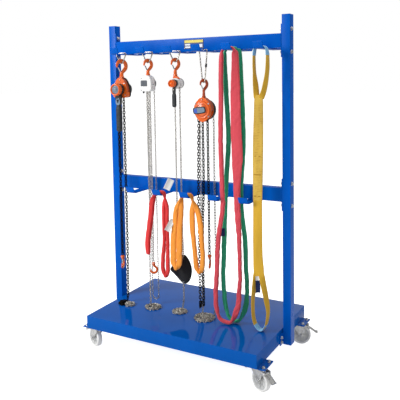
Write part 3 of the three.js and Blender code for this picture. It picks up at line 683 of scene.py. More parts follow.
def name_plate():
    """A blank plate riveted on the upper beam's front."""
    x0, x1, z0, z1 = -58, 84, 1952, 2010
    corner = [(x0, z0), (x1, z0), (x1, z1), (x0, z1)]
    outline = curved([p for a, b in zip(corner, corner[1:] + corner[:1])
                      for p in (a, (a[0] * 0.96 + b[0] * 0.04, a[1] * 0.96 + b[1] * 0.04),
                                (a[0] * 0.04 + b[0] * 0.96, a[1] * 0.04 + b[1] * 0.96))], 1)
    piece("name_plate", prism(outline, BEAM_FRONT - 1.6, BEAM_FRONT - 0.1), M["label_navy"],
          slot="blue_paint", bevel=0.4, smooth=False)
    for name, colour, a, b, c, d in (("top", "yellow", x0 + 4, x1 - 4, 1990, 2007),
                                     ("middle", "white", x0 + 8, x0 + 46, 1958, 1968),
                                     ("upper", "white", x0 + 8, x0 + 46, 1974, 1984),
                                     ("end", "white", x0 + 96, x1 - 8, 1960, 1980)):
        field = prism([(a, c), (b, c), (b, d), (a, d)], BEAM_FRONT - 2.0, BEAM_FRONT - 1.5)
        piece(f"name_plate_{name}", field, M[f"label_{colour}"], slot="white_paint",
              smooth=False, bevel=0.15)
    parts = [moved(lathe([(0, 0), (3.2, 0), (2.6, 1.2), (0, 1.7)], 16),
                   aim(x, BEAM_FRONT - 1.5, z, (0, -1, 0)))
             for x in (x0 + 3.5, x1 - 3.5) for z in (z0 + 3.5, z1 - 3.5)]
    piece("name_plate_rivets", merged(parts), M["steel"], slot="bright_steel")


name_plate()

# ---------------------------- casters

CASTERS = {"front_left": (-575, -327, 158), "front_right": (575, -327, -22),
           "rear_left": (-575, 327, 202), "rear_right": (575, 327, 22)}
TRAIL, WHEEL_R = 27, 62.5


def caster(corner, x, y, turn):
    own = at(x, y, 0) @ spin(turn)
    swivel, wheel, pedal = (f"{kind}_{corner}" for kind in ("swivel", "wheel", "pedal"))
    axle = own @ at(TRAIL, 0, WHEEL_R) @ FACE_Y

    tread = [(49, -16), (57, -16), (60.5, -15), (62.1, -11), (62.5, -5), (62.5, 5), (62.1, 11),
             (60.5, 15), (57, 16), (49, 16), (48.4, 13), (48.2, 0), (48.4, -13)]
    piece(f"wheel_tread_{corner}", closed_lathe(tread, 72), M["tread"], wheel, "wheel_nylon",
          f"caster_wheel_{corner}", place=axle)
    core = [(6.4, -17), (16, -17), (18.5, -15.5), (20, -11.5), (26, -8.5), (38, -8.5),
            (43, -10.5), (45.5, -14), (48.3, -14.6)]
    core += [(r, -along) for r, along in reversed(core)]
    rib = prism([(19, -1.6), (44, -1.6), (44, 1.6), (19, 1.6)], -12.5, 12.5)
    ribs = [moved(rib, spin(45 * k) @ FACE_BACK) for k in range(8)]
    piece(f"wheel_hub_{corner}", merged([closed_lathe(core, 64)] + ribs), M["hub"], wheel,
          "wheel_nylon", place=axle, bevel=0.5)

    rounded_copy(f"caster_fork_{corner}", "zinc", M["zinc"], 1.0, swivel)
    rounded_copy(f"brake_pedal_{corner}", "zinc", M["zinc"], 0.8, pedal)
    nuts = []
    for side in (-1, 1):
        nuts += [moved(fastener(17, 7), own @ aim(TRAIL, side * 24.2, WHEEL_R, (0, side, 0))),
                 moved(stud(5, 1.5, 3.6, 3), own @ aim(70, side * 24.2, 118, (0, side, 0)))]
    race = [(24, 131.4), (33, 131.4), (36.5, 133.5), (37, 136), (35, 138.5), (30, 142), (24, 142)]
    nuts.append(moved(closed_lathe(race, 56), own))
    piece(f"caster_fittings_{corner}", merged(nuts), M["zinc"], swivel, "zinc_steel")

    ribs = [prism([(86 + 9 * k, 104.5 - 6.3 * k), (88.6 + 9 * k, 102.7 - 6.3 * k),
                   (89.6 + 9 * k, 104.4 - 6.3 * k), (87 + 9 * k, 106.2 - 6.3 * k)], -14, 14)
            for k in range(4)]
    piece(f"pedal_grips_{corner}", merged(ribs), M["zinc"], pedal, "zinc_steel", place=own,
          bevel=0.4)

    bolts = []
    for dx in (-52.5, 52.5):
        for dy in (-40, 40):
            bolts.append(bolt(16, 6, x + dx, y + dy, 143, (0, 0, -1)))
            if abs(x + dx) > 600:
                bolts.append(bolt(16, 8, x + dx, y + dy, 153, (0, 0, 1)))
    piece(f"caster_bolts_{corner}", merged(bolts), M["zinc"], "rack", "zinc_steel", smooth=False,
          bevel=0.4)


for corner, where in CASTERS.items():
    caster(corner, *where)

# ---------------------------- hooks, rings and rope

HOOK_BEND = 1.42  # the bend's middle radius over the bowl's radius
SWIVEL_TOP = 3.4  # a bottom hook's top above its bowl's centre, over the bowl's radius


def hook_line(bowl, neck):
    """Centre line of a hook in XZ, from its neck round to its tip, about the bowl's centre."""
    r = bowl * HOOK_BEND
    line = [(0, 0, neck), (0, 0, bowl * 2.2), (bowl * 0.12, 0, bowl * 1.9),
            (bowl * 0.62, 0, bowl * 1.4)]
    line += arc(0, 0, r, 36, -196, 15)
    return line


def hook_piece(name, bowl, neck, place, body, slot, replaces, material):
    """A forged hook: round neck, deep oval bowl, tapered tip, and a spring latch."""
    line = even(spline(hook_line(bowl, neck), 2), 1.8)
    full = bowl * 0.5
    sides = 14
    sections = []
    count = len(line)
    for i, (t, side) in enumerate(frames(line)):
        share = i / (count - 1)
        if share < 0.16:
            deep = full * 1.1
        elif share < 0.3:
            deep = full * (0.9 + 0.22 * (share - 0.16) / 0.14)
        else:
            deep = full * 1.12
        if share > 0.7:
            deep *= 1 - 0.58 * ((share - 0.7) / 0.3) ** 1.4
        wide = deep * (0.8 if share > 0.2 else 0.95)
        if share > 0.985:
            deep *= 0.55
            wide *= 0.55
        sections.append((line[i], side, t.cross(side), oval(wide, deep, sides)))
    piece(name, sweep(line, sections, sides), material, body, slot, replaces, place=place)
    tip = Vector((bowl * HOOK_BEND * math.cos(math.radians(164)), 0,
                  bowl * HOOK_BEND * math.sin(math.radians(164))))
    latch_line = spline([(-bowl * 0.3, 0, bowl * 1.75), (-bowl * 0.62, 0, bowl * 1.2),
                         (-bowl * 0.9, 0, bowl * 0.62), tip + Vector((bowl * 0.3, 0, -1))], 2)
    half = bowl * 0.26
    strip = [(half, -1.2), (half, 1.2), (-half, 1.2), (-half, -1.2)]
    sections = [(p, side, t.cross(side), strip)
                for p, (t, side) in zip(latch_line, frames(latch_line))]
    piece(name + "_latch", sweep(latch_line, sections, 4), M["zinc"], body, "zinc_steel",
          place=place, bevel=0.3, smooth=False)


RING_TOP, RING_LOW, RING_HALF, RING_WIRE = 1940, 1872, 38.5, 4


def ring(number, x, y):
    line = even(arc(RING_HALF - 8, RING_TOP - 8, 8, 90, -32, 8)
                + arc(0, RING_LOW + 16, 16, -32, -148, 10)
                + arc(8 - RING_HALF, RING_TOP - 8, 8, 212, 90, 8), 4, closed=True)
    piece(f"hoist_{number}_ring_wire", tube(line, RING_WIRE, 14, closed=True), M["steel"], "rack",
          "bright_steel", f"hoist_{number}_ring", place=at(x, y, 0))


TOP_HOOK_TURN = 245
TOP_HOOK_LIFT = 2.7


def top_hook(number, x, y, bowl, low, hang, material=M["orange"]):
    """A hook with its bowl up, hung on the wire whose lowest centre is at hang."""
    centre = hang + RING_WIRE + TOP_HOOK_LIFT - bowl
    place = at(x, y, centre) @ spin(TOP_HOOK_TURN) @ spin(180, "Y")
    hook_piece(f"hoist_{number}_top_hook_forged", bowl, centre - low, place, "rack",
               "orange_paint", f"hoist_{number}_top_hook", material)
    collar = [(0, 0), (bowl * 0.62, 0), (bowl * 0.7, 3), (bowl * 0.66, 10), (bowl * 0.5, 14),
              (0, 14)]
    piece(f"hoist_{number}_hook_collar", lathe(collar, 28), material, "rack",
          "orange_paint", place=at(x, y, low - 1))


def bottom_hook(number, x, y, z, bowl, turn):
    place = at(x, y, z) @ spin(turn)
    body = f"hoist_{number}_bottom_hook_body"
    neck, swivel = bowl * 2.4, bowl * SWIVEL_TOP
    hook_piece(f"hoist_{number}_bottom_hook_forged", bowl, neck + 3, place, body,
               "orange_paint", f"hoist_{number}_bottom_hook", M["orange"])
    r = bowl
    profile = [(0, neck - 4), (r * 0.46, neck - 4), (r * 0.62, neck - 1), (r * 0.75, neck + 4),
               (r * 0.76, swivel - 7), (r * 0.66, swivel - 2.5), (r * 0.46, swivel), (0, swivel)]
    piece(f"hoist_{number}_swivel_block", lathe(profile, 32), M["orange"], body, "orange_paint",
          place=place)
    pins = merged([moved(stud(3.2, 1.2, 2.4, 2),
                         aim(0, s * r * 0.74, (neck + swivel) / 2, (0, s, 0))) for s in (-1, 1)])
    piece(f"hoist_{number}_swivel_pins", pins, M["steel"], body, "bright_steel", place=place)


def rope(name, line, radius, strands, lay, material, place, replaces):
    """Stranded wire rope: helical strands about a closed line."""
    line = even(line, 2.2, closed=True)
    around = frames(line, True)
    length = sum((b - a).length for a, b in zip(line, line[1:] + line[:1]))
    twists = round(length / lay)
    strand_r = radius * 0.4
    offset = radius - strand_r
    parts = []
    for s in range(strands):
        points = []
        for i, (t, side) in enumerate(around):
            angle = TAU * (s / strands + twists * i / len(line))
            outward = side * math.cos(angle) + t.cross(side) * math.sin(angle)
            points.append(line[i] + outward * offset)
        parts.append(tube(points, strand_r, 6, closed=True))
    parts.append(tube(line, radius * 0.45, 6, closed=True))
    piece(name, merged(parts), material, "rack", "bright_steel", replaces, place=place)


# ---------------------------- hoist parts


def mirrored(right):
    """A closed outline from its right half, top to bottom; its first point is the left twin."""
    (x, z), *rest = right
    return [(-x, z), (x, z), *rest] + [(-px, pz) for px, pz in reversed(rest)]


def rim_bolts(spots, y, across=8, facing=-1):
    return merged([moved(fastener(across, 3, False), aim(x, y, z, (0, facing, 0)))
                   for x, z in spots])


# The material slot name that goes with each look of a hoist's pieces.
SLOTS = {"white": "white_paint", "dark_panel": "white_paint", "cover_grey": "white_paint",
         "black": "black_paint", "panel": "black_paint", "label_blue": "black_paint",
         "rubber": "black_paint", "orange": "orange_paint", "rust": "orange_paint",
         "zinc": "zinc_steel", "steel": "bright_steel", "chain": "bright_steel",
         "black_chain": "black_steel"}


class Hoist:
    """One hoist: its centre, and short calls for its pieces, in millimetres from that centre."""

    def __init__(self, number, x, y, z):
        self.number, self.x, self.y, self.z = number, x, y, z
        self.place = at(x, y, z)

    def part(self, name, shape, material, node=None, turn=Matrix(), body="rack", slot=None,
             **looks):
        piece(f"hoist_{self.number}_{name}", shape, M[material], body, slot or SLOTS[material],
              f"hoist_{self.number}_{node}" if node else None, place=self.place @ turn, **looks)

    def lever(self, name, shape, material, **more):
        self.part(name, shape, material, body=f"hoist_{self.number}_lever_body", **more)

    def hook(self, dx, height, bowl, turn, middle, top):
        """The bottom hook, and the chain's straight run from the housing down to it."""
        bottom_hook(self.number, self.x + dx, self.y, height, bowl, turn)
        low = height + bowl * SWIVEL_TOP + 2 - self.z
        return spline([(dx, 0, low), (dx, 0, middle - self.z), (dx, 0, top)], 20)

    def run(self, *points):
        """A hanging run of chain through (x, y, height): a height below 0 is from the centre."""
        return spline([(x, y, z if z <= 0 else z - self.z) for x, y, z in points], 20)

    def heap(self, dx, dy, *shape):
        centre = Vector((self.x, self.y, self.z))
        return [p - centre for p in heap_path(self.x + dx, self.y + dy, *shape)]

    def chain(self, name, paths, link, seed, node=None, material="chain", slack=0.12, slot=None):
        self.part(name, link_chain(paths, *link, seed, slack), material, node, slot=slot)


HEAVY_LINK, LIGHT_LINK = (6, 18, 20), (4, 12, 13.6)  # wire, pitch and width over the link


# ---------------------------- hoist 1: large lever hoist


def grip(length, half_x, half_y, ribs, top):
    """A moulded hand grip hanging down from top, with rings and a blunt end."""
    def soft(value):
        return math.copysign(abs(value) ** 0.7, value)

    line, size = [], []
    steps = ribs * 6
    for i in range(steps + 1):
        share = i / steps
        ripple = 0.98 + 0.02 * math.cos(share * ribs * TAU)
        end = min(1, (1 - share) * 14) ** 0.5 if share > 0.93 else 1
        start = 0.82 + 0.18 * min(1, share * 8)
        line.append(Vector((0, 0, top - length * share)))
        size.append(ripple * max(end, 0.35) * start)
    sides = 20
    sections = [(p, Vector((1, 0, 0)), Vector((0, 1, 0)),
                 [(half_x * s * soft(a), half_y * s * soft(b)) for a, b in oval(1, 1, sides)])
                for p, s in zip(line, size)]
    return sweep(line, sections, sides)


def knob(hoist, forward, radius, depth, centre):
    """A free-wheel knob: a scalloped orange rim round a centre disc; along runs forwards."""
    lobes = 10
    sides = 80
    rows = [(0.72, 0.0), (0.9, 0.0), (1.0, 0.12), (1.0, 0.72), (0.95, 0.9), (0.86, 1.0),
            (0.76, 0.97), (0.7, 0.82), (0.68, 0.3)]
    verts, faces = [], []
    for share, along in rows:
        for i in range(sides):
            angle = TAU * i / sides
            dent = 0.035 * (1 - abs(math.cos(angle * lobes / 2)) ** 0.5) if share > 0.86 else 0
            r = radius * (share - dent)
            verts.append((r * math.cos(angle), r * math.sin(angle), depth * along))
    for a in range(len(rows)):
        faces += band(a * sides, (a + 1) % len(rows) * sides, sides)
    turn = at(0, -forward, 0) @ FACE_Y
    body = f"hoist_{hoist.number}_knob_body"
    hoist.part("knob_rim", (verts, faces), "orange", "knob", turn, body)
    disc = [(0, 0), (0.7, 0), (0.7, 0.72), (0.62, 0.8), (0.3, 0.84), (0.27, 0.92), (0.18, 0.96),
            (0, 0.97)]
    hoist.part("knob_centre", lathe([(radius * r, depth * a) for r, a in disc], 56), centre,
               None, turn, body, "black_paint")


def hoist_1():
    x, y, z = UPPER_X[0], HANG_Y[0], 1698
    h = Hoist(1, x, y, z)
    ring(1, x, y)
    top_hook(1, x, y, 24, z + 78, RING_LOW)
    side = curved(mirrored([(14, 79), (34, 60), (50, 26), (58, -16), (57, -44), (44, -56)]))
    h.part("front_plate", prism(side, -24, -15), "orange", "housing", bevel=2.2)
    h.part("back_plate", prism(side, 14, 25), "black", slot="orange_paint", bevel=2.2)
    rim = curved(mirrored([(10, 76), (29, 58), (44, 26), (51, -14), (50, -20)]))
    h.part("core", prism(rim, -15.2, 15.2), "rust", bevel=1.0)
    guide = [(49, -18), (53, -18), (52, -50), (34, -53), (34, -48), (47, -46)]
    for s, name in ((-1, "left"), (1, "right")):
        outline = curved([(s * px, pz) for px, pz in guide], 1)
        h.part(f"guide_{name}", prism(outline, -15.2, 15.2), "orange", bevel=0.8)
    cover = [(0, 24.8), (43, 24.8), (45, 27), (45, 50), (43, 54), (38, 56), (33, 55.5),
             (24, 55.5), (22, 60), (18, 63), (0, 64)]
    h.part("gear_cover", lathe(cover, 72), "black", turn=FACE_BACK)
    spots = [(0, 62), (44, -36), (-44, -36), (-38, 40), (38, 40)]
    h.part("bolts", rim_bolts(spots, -24), "zinc", smooth=False)
    h.part("cover_bolts", rim_bolts(oval(38, 38, 6, 0.5), 55.8, 7, 1), "zinc", smooth=False)

    hub = [(0, 24.4), (34, 24.4), (39, 26.5), (40, 30), (40, 45), (38, 48.5), (30, 50), (0, 50)]
    h.lever("lever_hub", lathe(hub, 64), "black", node="lever", turn=FACE_Y)
    neck = curved(mirrored([(24, -24), (24, -52), (19, -112)]))
    h.lever("lever_arm", prism(neck, -49, -30), "black", bevel=3)
    panel = curved(mirrored([(18, -60), (17, -104)]), 1)
    h.lever("lever_panel", prism(panel, -51.5, -48.6), "panel", bevel=1)
    pointer = curved(mirrored([(3, -70), (2, -88)]), 1)
    switch = merged([moved(stud(8, 3, 6.6, 4.2, 28), aim(0, -51.2, -72, (0, -1, 0))),
                     prism(pointer, -56.5, -52)])
    h.lever("direction_switch", switch, "black", bevel=0.5)
    h.lever("grip", grip(176, 21, 15, 9, -109), "rubber", turn=at(0, -39, 0))
    knob(h, 50.4, 41, 31.5, "panel")

    load = h.hook(-32, 497, 17, 112, 900, -20)
    tail = h.run((12, 0, -20), (12, 0, 1100), (12, 0, 700), (16, -10, 420), (17, -14, 300),
                 (14, -20, DECK_TOP + 22))
    h.chain("load_chain_links", [load, tail, h.heap(3, -50, 40, 15, 5, 11)], HEAVY_LINK, 5,
            "load_chain", "black_chain")
    h.chain("load_chain_end", [h.heap(55, -56, 35, 17, 5, 12)], HEAVY_LINK, 6,
            slot="black_steel")


# ---------------------------- hoist 2: small chain block


def hoist_2():
    x, y, z = UPPER_X[1], HANG_Y[1], 1735
    h = Hoist(2, x, y, z)
    ring(2, x, y)
    top_hook(2, x, y, 20, z + 54, RING_LOW)
    box = curved(mirrored([(12, 55), (30, 44), (41, 26), (43, -40), (36, -51)]))
    h.part("front_shell", prism(box, -31, -11), "white", "housing", bevel=4)
    core = curved(mirrored([(12, 55), (30, 44), (41, 26), (42, -10)]))
    sides = [prism([(s * 37, -8), (s * 42.6, -8), (s * 42.6, -40), (s * 37, -46)][::s],
                   -11.2, 11.2) for s in (-1, 1)]
    h.part("core", merged([prism(core, -11.2, 11.2)] + sides), "white", smooth=False)
    h.part("rear_shell", prism(box, 11, 17), "white", bevel=2)
    edge = [(px * 0.97, pz * 0.97) for px, pz in box]
    h.part("rear_plate", prism(edge, 16.8, 22), "black", bevel=1.5)
    panel = [(-37, 21), (11, 21), (11, -17), (-37, -17)]
    h.part("panel", prism(panel, -33, -30.6), "dark_panel", bevel=0.8)
    cover = [(0, 21.8), (31, 21.8), (34, 23.5), (35.5, 26), (35.5, 41), (34, 44.5), (30, 46),
             (22, 46), (19, 44), (12, 44), (10, 45.8), (0, 46)]
    h.part("wheel_cover", lathe(cover, 64), "cover_grey", turn=FACE_BACK)
    spots = [(-34, 34), (34, 34), (-36, -42), (36, -42)]
    h.part("bolts", rim_bolts(spots, -31, 6), "zinc", smooth=False)
    h.part("chain_stop", moved(stud(5.5, 12, 4, 14), aim(-24, -20, -50, (0, 0, -1))), "rubber")

    load = h.hook(12, 485, 15, 35, 1000, -40)
    tail = h.run((-12, 0, -40), (-12, 0, 900), (-28, 14, 600), (-30, 14, 430),
                 (-8, -18, DECK_TOP + 22))
    h.chain("load_chain_links", [load, tail, h.heap(20, -34, 56, 20, 8, 23)], LIGHT_LINK, 7,
            "load_chain")
    reach, back, top, low = 24, 33, -30, DECK_TOP + 60 - z
    down = [(low - top) * k / 30 for k in range(31)]
    hand = ([(-reach, back, top + dz) for dz in down[:30]]
            + arc(0, low, reach, 180, 360, 12, back)
            + [(reach, back, low - dz) for dz in down[1:]])
    h.chain("hand_chain_links", [hand], (3.4, 15, 12), 9, "hand_chain", slack=0.1)


# ---------------------------- hoist 3: small lever hoist


def hoist_3():
    hook_x, y, z = UPPER_X[2], HANG_Y[2], 1734
    h = Hoist(3, hook_x + 12, y, z)
    ring(3, hook_x, y)
    top_hook(3, hook_x, y, 20, z + 48, RING_LOW)
    cheek = [(0, -28), (31, -28), (34, -25), (34, -12), (0, -12)]
    h.part("front_cheek", lathe(cheek, 64), "white", "housing", FACE_BACK)
    drum = [(0, 10), (33.5, 10), (34, 12), (34, 24), (32, 26), (0, 26)]
    h.part("rear_drum", lathe(drum, 64), "white", turn=FACE_BACK)
    cap = [(0, 25.8), (33, 25.8), (34, 28), (33, 33), (29, 35.4), (18, 36), (0, 36)]
    h.part("rear_cap", lathe(cap, 64), "black", turn=FACE_BACK, slot="white_paint")
    upper = [(33 * math.cos(math.radians(a)), 33 * math.sin(math.radians(a)))
             for a in range(-10, 191, 10)]
    h.part("core", prism(upper, -12.2, 10.2), "white", bevel=0.8)
    yoke = curved([(-22, 49), (-2, 49), (18, 34), (20, 18), (-24, 18), (-28, 34)], 1)
    h.part("yoke", prism(yoke, -9, 9), "orange", bevel=2)

    hub = [(0, 28.4), (24, 28.4), (26, 30.5), (26.5, 33), (26.5, 44), (25, 47), (0, 48)]
    h.lever("lever_hub", lathe(hub, 56), "black", node="lever", turn=FACE_Y)
    neck = curved(mirrored([(11, -20), (9, -74)]), 1)
    h.lever("lever_arm", prism(neck, -45, -32), "black", bevel=2)
    h.lever("grip", grip(88, 15, 9, 5, -64), "rubber", turn=at(0, -38.5, 0))
    switch = moved(stud(4.5, 2, 3.5, 3, 24), aim(0, -44.8, -40, (0, -1, 0)))
    h.lever("direction_switch", switch, "steel")
    knob(h, 48.4, 25, 27.4, "orange")

    load = h.hook(-18, 700, 13, 60, 1200, -20)
    tail = h.run((18, 0, -20), (18, 0, 900), (22, 0, 660), (22, 0, 400), (23, -8, 300),
                 (16, -14, DECK_TOP + 22))
    h.chain("load_chain_links", [load, tail, h.heap(2, -24, 50, 17, 7, 31)], LIGHT_LINK, 13,
            "load_chain")
    chain_bag(h.x, y)


def chain_bag(x, y):
    """A teardrop cloth bag: two bulged skins joined along a stitched rim."""
    top, low, middle, depth = 614, 417, 10, 23
    outline = curved([(8, top - 2), (30, top - 1), (46, top - 15), (64, top - 39),
                      (80, top - 84), (76, top - 129), (64, low + 31), (34, low + 2),
                      (8, low + 5), (-6, low + 15), (-54, low + 58), (-88, low + 78),
                      (-76, top - 94), (-30, top - 44)])
    count = len(outline)
    cx, cz = (sum(p[i] for p in outline) / count for i in (0, 1))
    rows = [1.0, 0.94, 0.8, 0.6, 0.4, 0.2]
    verts, faces = [], []
    for face in (-1, 1):
        base = len(verts)
        for share in rows:
            swell = (1 - share ** 2.4) ** 0.7
            for px, pz in outline:
                vx, vz = cx + (px - cx) * share, cz + (pz - cz) * share
                fold = 1.6 * noise.noise(Vector((vx * 0.05, vz * 0.03, face * 5)))
                verts.append((vx, middle + face * (2 + 21 * swell + fold * swell), vz))
        verts.append((cx, middle + face * depth, cz))
        for r in range(len(rows) - 1):
            faces += band(base + r * count, base + (r + 1) * count, count)
        last = base + (len(rows) - 1) * count
        faces += [(last + i, last + (i + 1) % count, len(verts) - 1) for i in range(count)]
    faces += band(0, len(rows) * count + 1, count)
    piece("hoist_3_chain_bag_cloth", (verts, faces), M["bag"], "rack", "black_nylon",
          "hoist_3_chain_bag", place=at(x, y, 0), levels=1,
          uvs=[(v[0] * MM, v[2] * MM) for v in verts])
    rim = even([(px, middle, pz) for px, pz in outline], 4, closed=True)
    piece("hoist_3_chain_bag_piping", tube(rim, 2.0, 8, closed=True), M["rubber"], "rack",
          "black_nylon", place=at(x, y, 0))


# ---------------------------- hoist 4: hand chain block


def hoist_4():
    x, y, z = UPPER_X[3], HANG_Y[3], 1566
    h = Hoist(4, x, y, z)
    low = 1738
    turn = at(x, y, 0) @ spin(-30)
    half = 30 / math.cos(math.radians(30)) + 11
    loop = (arc(half - 8, UPPER_ARM + LIFT - 4, 8, 90, -6, 8)
            + arc(0, low + 16, 16, -10, -170, 10)
            + arc(8 - half, UPPER_ARM + LIFT - 4, 8, 186, 90, 8))
    rope("hoist_4_rope_loop_wire", loop, 4, 6, 34, M["steel"], turn, "hoist_4_rope_loop")
    ferrule = lathe([(4.1, -11), (5.6, -11), (6.6, -9), (6.6, 9), (5.6, 11), (4.1, 11)], 28)
    lean = Vector((half - 16, 0, 150)).normalized()
    ferrule = moved(ferrule, aim(16 + (half - 16) * 0.52, 0, low + 105, lean))
    piece("hoist_4_ferrule", ferrule, M["black"], "rack", "black_paint", place=turn)
    top_hook(4, x, y, 18, z + 78, low, M["rust"])

    outline = curved(mirrored([(15, 79), (38, 58), (56, 34), (62, 2), (56, -28), (38, -54),
                               (12, -75)]))
    h.part("front_plate", prism(outline, -26, -11.5), "orange", "housing", bevel=3)
    dome = [(0, 25.5), (55, 25.5), (56, 27), (54, 31), (48, 33.4), (46, 32.2), (43, 32.2),
            (41, 33.6), (0, 34)]
    h.part("gear_cover", lathe(dome, 72), "orange", turn=FACE_Y)
    core = curved(mirrored([(14, 78), (38, 57), (55, 34), (60, 2), (58, -8)]))
    h.part("core", prism(core, -11.7, 11.7), "rust", bevel=1)
    h.part("rear_plate", prism(outline, 11.5, 16.2), "orange", bevel=1.5)
    raised = ring_prism(oval(39.99, 39.99, 60), oval(36, 36, 60), -35.2, -33)
    h.part("cover_ring", raised, "rust", bevel=0.8)
    tilt = spin(-9, "Y")
    frame_out = curved([(-60, 18), (-50, 24), (22, 22), (30, 12), (30, -12), (22, -22),
                        (-50, -19), (-60, -12)])
    frame_in = [(-15 + (px + 15) * 0.86, pz * 0.74) for px, pz in frame_out]
    field = [(-52, 12), (-30, 15), (-30, -14), (-52, -9)]
    for name, outline, y0, y1, material, looks in (
            ("panel_frame", frame_out, -37.5, -33.6, "black", {"bevel": 1.2}),
            ("panel", frame_in, -38.6, -36, "panel", {"bevel": 0.6}),
            ("panel_field", field, -39.4, -38.2, "label_blue", {"smooth": False})):
        h.part(name, moved(prism(outline, y0, y1), tilt), material, **looks)
    spots = [(0, 66), (46, 40), (-46, 40), (44, -38), (-44, -38)]
    h.part("bolts", rim_bolts(spots, -26, 9), "zinc", smooth=False)

    cover = [(0, 16), (60, 16), (63, 18.5), (64, 22), (64, 40), (62, 44), (57, 46), (46, 46),
             (42, 43), (24, 43), (20, 45.5), (0, 46)]
    fin = prism([(63, -1.2), (65.4, -1.2), (65.4, 1.2), (63, 1.2)], 19, 43)
    fins = [moved(fin, spin(10 * k, "Y")) for k in range(36)]
    h.part("wheel_cover", merged([moved(lathe(cover, 80), FACE_BACK)] + fins), "black")

    load = h.hook(23.5, 585, 17, 112, 1100, -40)
    slack = 330 - z
    tail = ([(-11.5, 0, -40), (-11.5, 0, 1100 - z), (-23.5, 0, 760 - z), (-23.5, 0, slack)]
            + arc(-36.5, slack, 13, -30, -150, 4)
            + [(-49.5, 0, slack), (-49.5, 0, 1100 - z), (-39.5, 0, 1480 - z),
               (-39.5, 0, -62)])
    h.chain("load_chain_links", [load, spline(tail, 18)], HEAVY_LINK, 17, "load_chain",
            "black_chain", 0.1)
    foot = DECK_TOP + 24
    right = h.run((50, 31, -46), (50, 31, 1200), (52, 22, 296), (40, -14, foot))
    left = h.run((-50, 31, -46), (-50, 31, 1200), (-44, 24, 296), (-30, -14, foot))
    h.chain("hand_chain_links", [right, left, h.heap(2, -46, 72, 23, 9, 41)], (4.2, 18, 15), 19,
            "hand_chain")


hoist_1()
hoist_2()
hoist_3()
hoist_4()

# ---------------------------- slings


def soft_band(name, route, material, slot, replaces=None, closed=True, seed=1, ribs=3, step=8,
              levels=1):
    """A sling along a route of (x, y, z, wide, thick, turn, wrinkle): turn is the wide side's
    heading from +Y towards +X, in degrees. Folds run along it, puckers across its bends."""
    points = spline([Vector(r[:3]) for r in route], step, closed)
    stations = []
    for i in range(len(route) if closed else len(route) - 1):
        a, b = route[i], route[(i + 1) % len(route)]
        parts = max(2, int((Vector(b[:3]) - Vector(a[:3])).length / step))
        for n in range(parts):
            t = n / parts
            s = t * t * (3 - 2 * t)
            stations.append([a[k] + (b[k] - a[k]) * s for k in range(3, 7)])
    if not closed:
        stations.append(list(route[-1][3:7]))
    sides = 28
    sections, uvs = [], []
    travelled = 0.0
    along = tangents(points, closed)
    for i, (wide, thick, turn, wrinkle) in enumerate(stations):
        heading = math.radians(turn)
        side = Vector((math.sin(heading), math.cos(heading), 0))
        t = along[i]
        side = (side - t * side.dot(t)).normalized()
        ring = []
        drift = 1.5 * noise.noise(Vector((seed * 0.37, 2.0, travelled * 0.004)))
        edge = wrinkle * 1.4 * noise.noise(Vector((seed * 0.7, 5.0, travelled * 0.03)))
        for k in range(sides):
            angle = TAU * k / sides
            c, s = math.cos(angle), math.sin(angle)
            a = math.copysign(abs(c) ** 0.8, c)
            b = math.copysign(abs(s) ** 0.62, s)
            folds = math.cos(math.pi * (a * ribs + drift))
            pucker = noise.noise(Vector((a * 0.9 + travelled * 0.012, b * 0.6,
                                         travelled * 0.034 + a * 1.1 + seed)))
            pucker = 0.45 - abs(pucker) * 2.2
            fine = noise.noise(Vector((a * 3.0, b * 2.0 + seed, travelled * 0.09)))
            lift = wrinkle * (0.55 * folds + 1.25 * pucker + 0.7 * fine)
            ring.append((a * wide / 2 + edge, b * thick / 2 + math.copysign(abs(b) ** 0.5, b) * lift))
            uvs.append((travelled * MM, a * wide / 2 * MM + (0.2 if s < 0 else 0)))
        sections.append((points[i], side, t.cross(side), ring))
        if i + 1 < len(stations):
            travelled += (points[i + 1] - points[i]).length
    piece(name, sweep(points, sections, sides, closed), material, "rack", slot, replaces,
          uvs=uvs, levels=levels)


ROOM = 2.5  # what a fold may add to a strand's width inside its CAD solid


def strand(rows, y, turn, thick=None, wrinkle=1.6):
    """Route points down one strand from (height, left edge, right edge) rows."""
    out = []
    for z, left, right in rows:
        wide = right - left - ROOM
        deep = thick or max(13, min(23, 760 / wide))
        out.append(((left + right) / 2, y, z, wide, deep, turn, wrinkle))
    return out


def over_arm(x, y, top, wide, thick, drop=5):
    """Route points over an arm from its left side to its right."""
    high = top + thick / 2 + 1.2
    return [(x - 37.5, y, top - drop, wide, 11, 0, 0.6), (x - 24, y, high - 1, wide, thick, 0, 0.8),
            (x, y, high, wide, thick, 0, 0.8), (x + 24, y, high - 1, wide, thick, 0, 0.8),
            (x + 37.5, y, top - drop, wide, 11, 0, 0.6)]


def hung_sling(name, y, left, right, bend, material, slot, node, creased):
    """An endless sling over the fifth upper arm; creased holds the heights that pucker."""
    x = UPPER_X[4]
    top = UPPER_ARM
    route = over_arm(x, y, top, 29, 15)
    down = strand(right, y, 90)
    up = strand(left, y, -90)[::-1]
    route += [(*p[:5], 62, 1.2) if n == 0 else p for n, p in enumerate(down)]
    route += [(bx, y, bz, 28, 19, 0, 2.0) for bx, bz in bend]
    route += [(*p[:5], -62, 1.0) if n == len(up) - 1 else p for n, p in enumerate(up)]
    low, high = creased
    route = [(*p[:6], 2.5) if low < p[2] < high else p for p in route]
    soft_band(name, route, material, slot, node, seed=x + y)


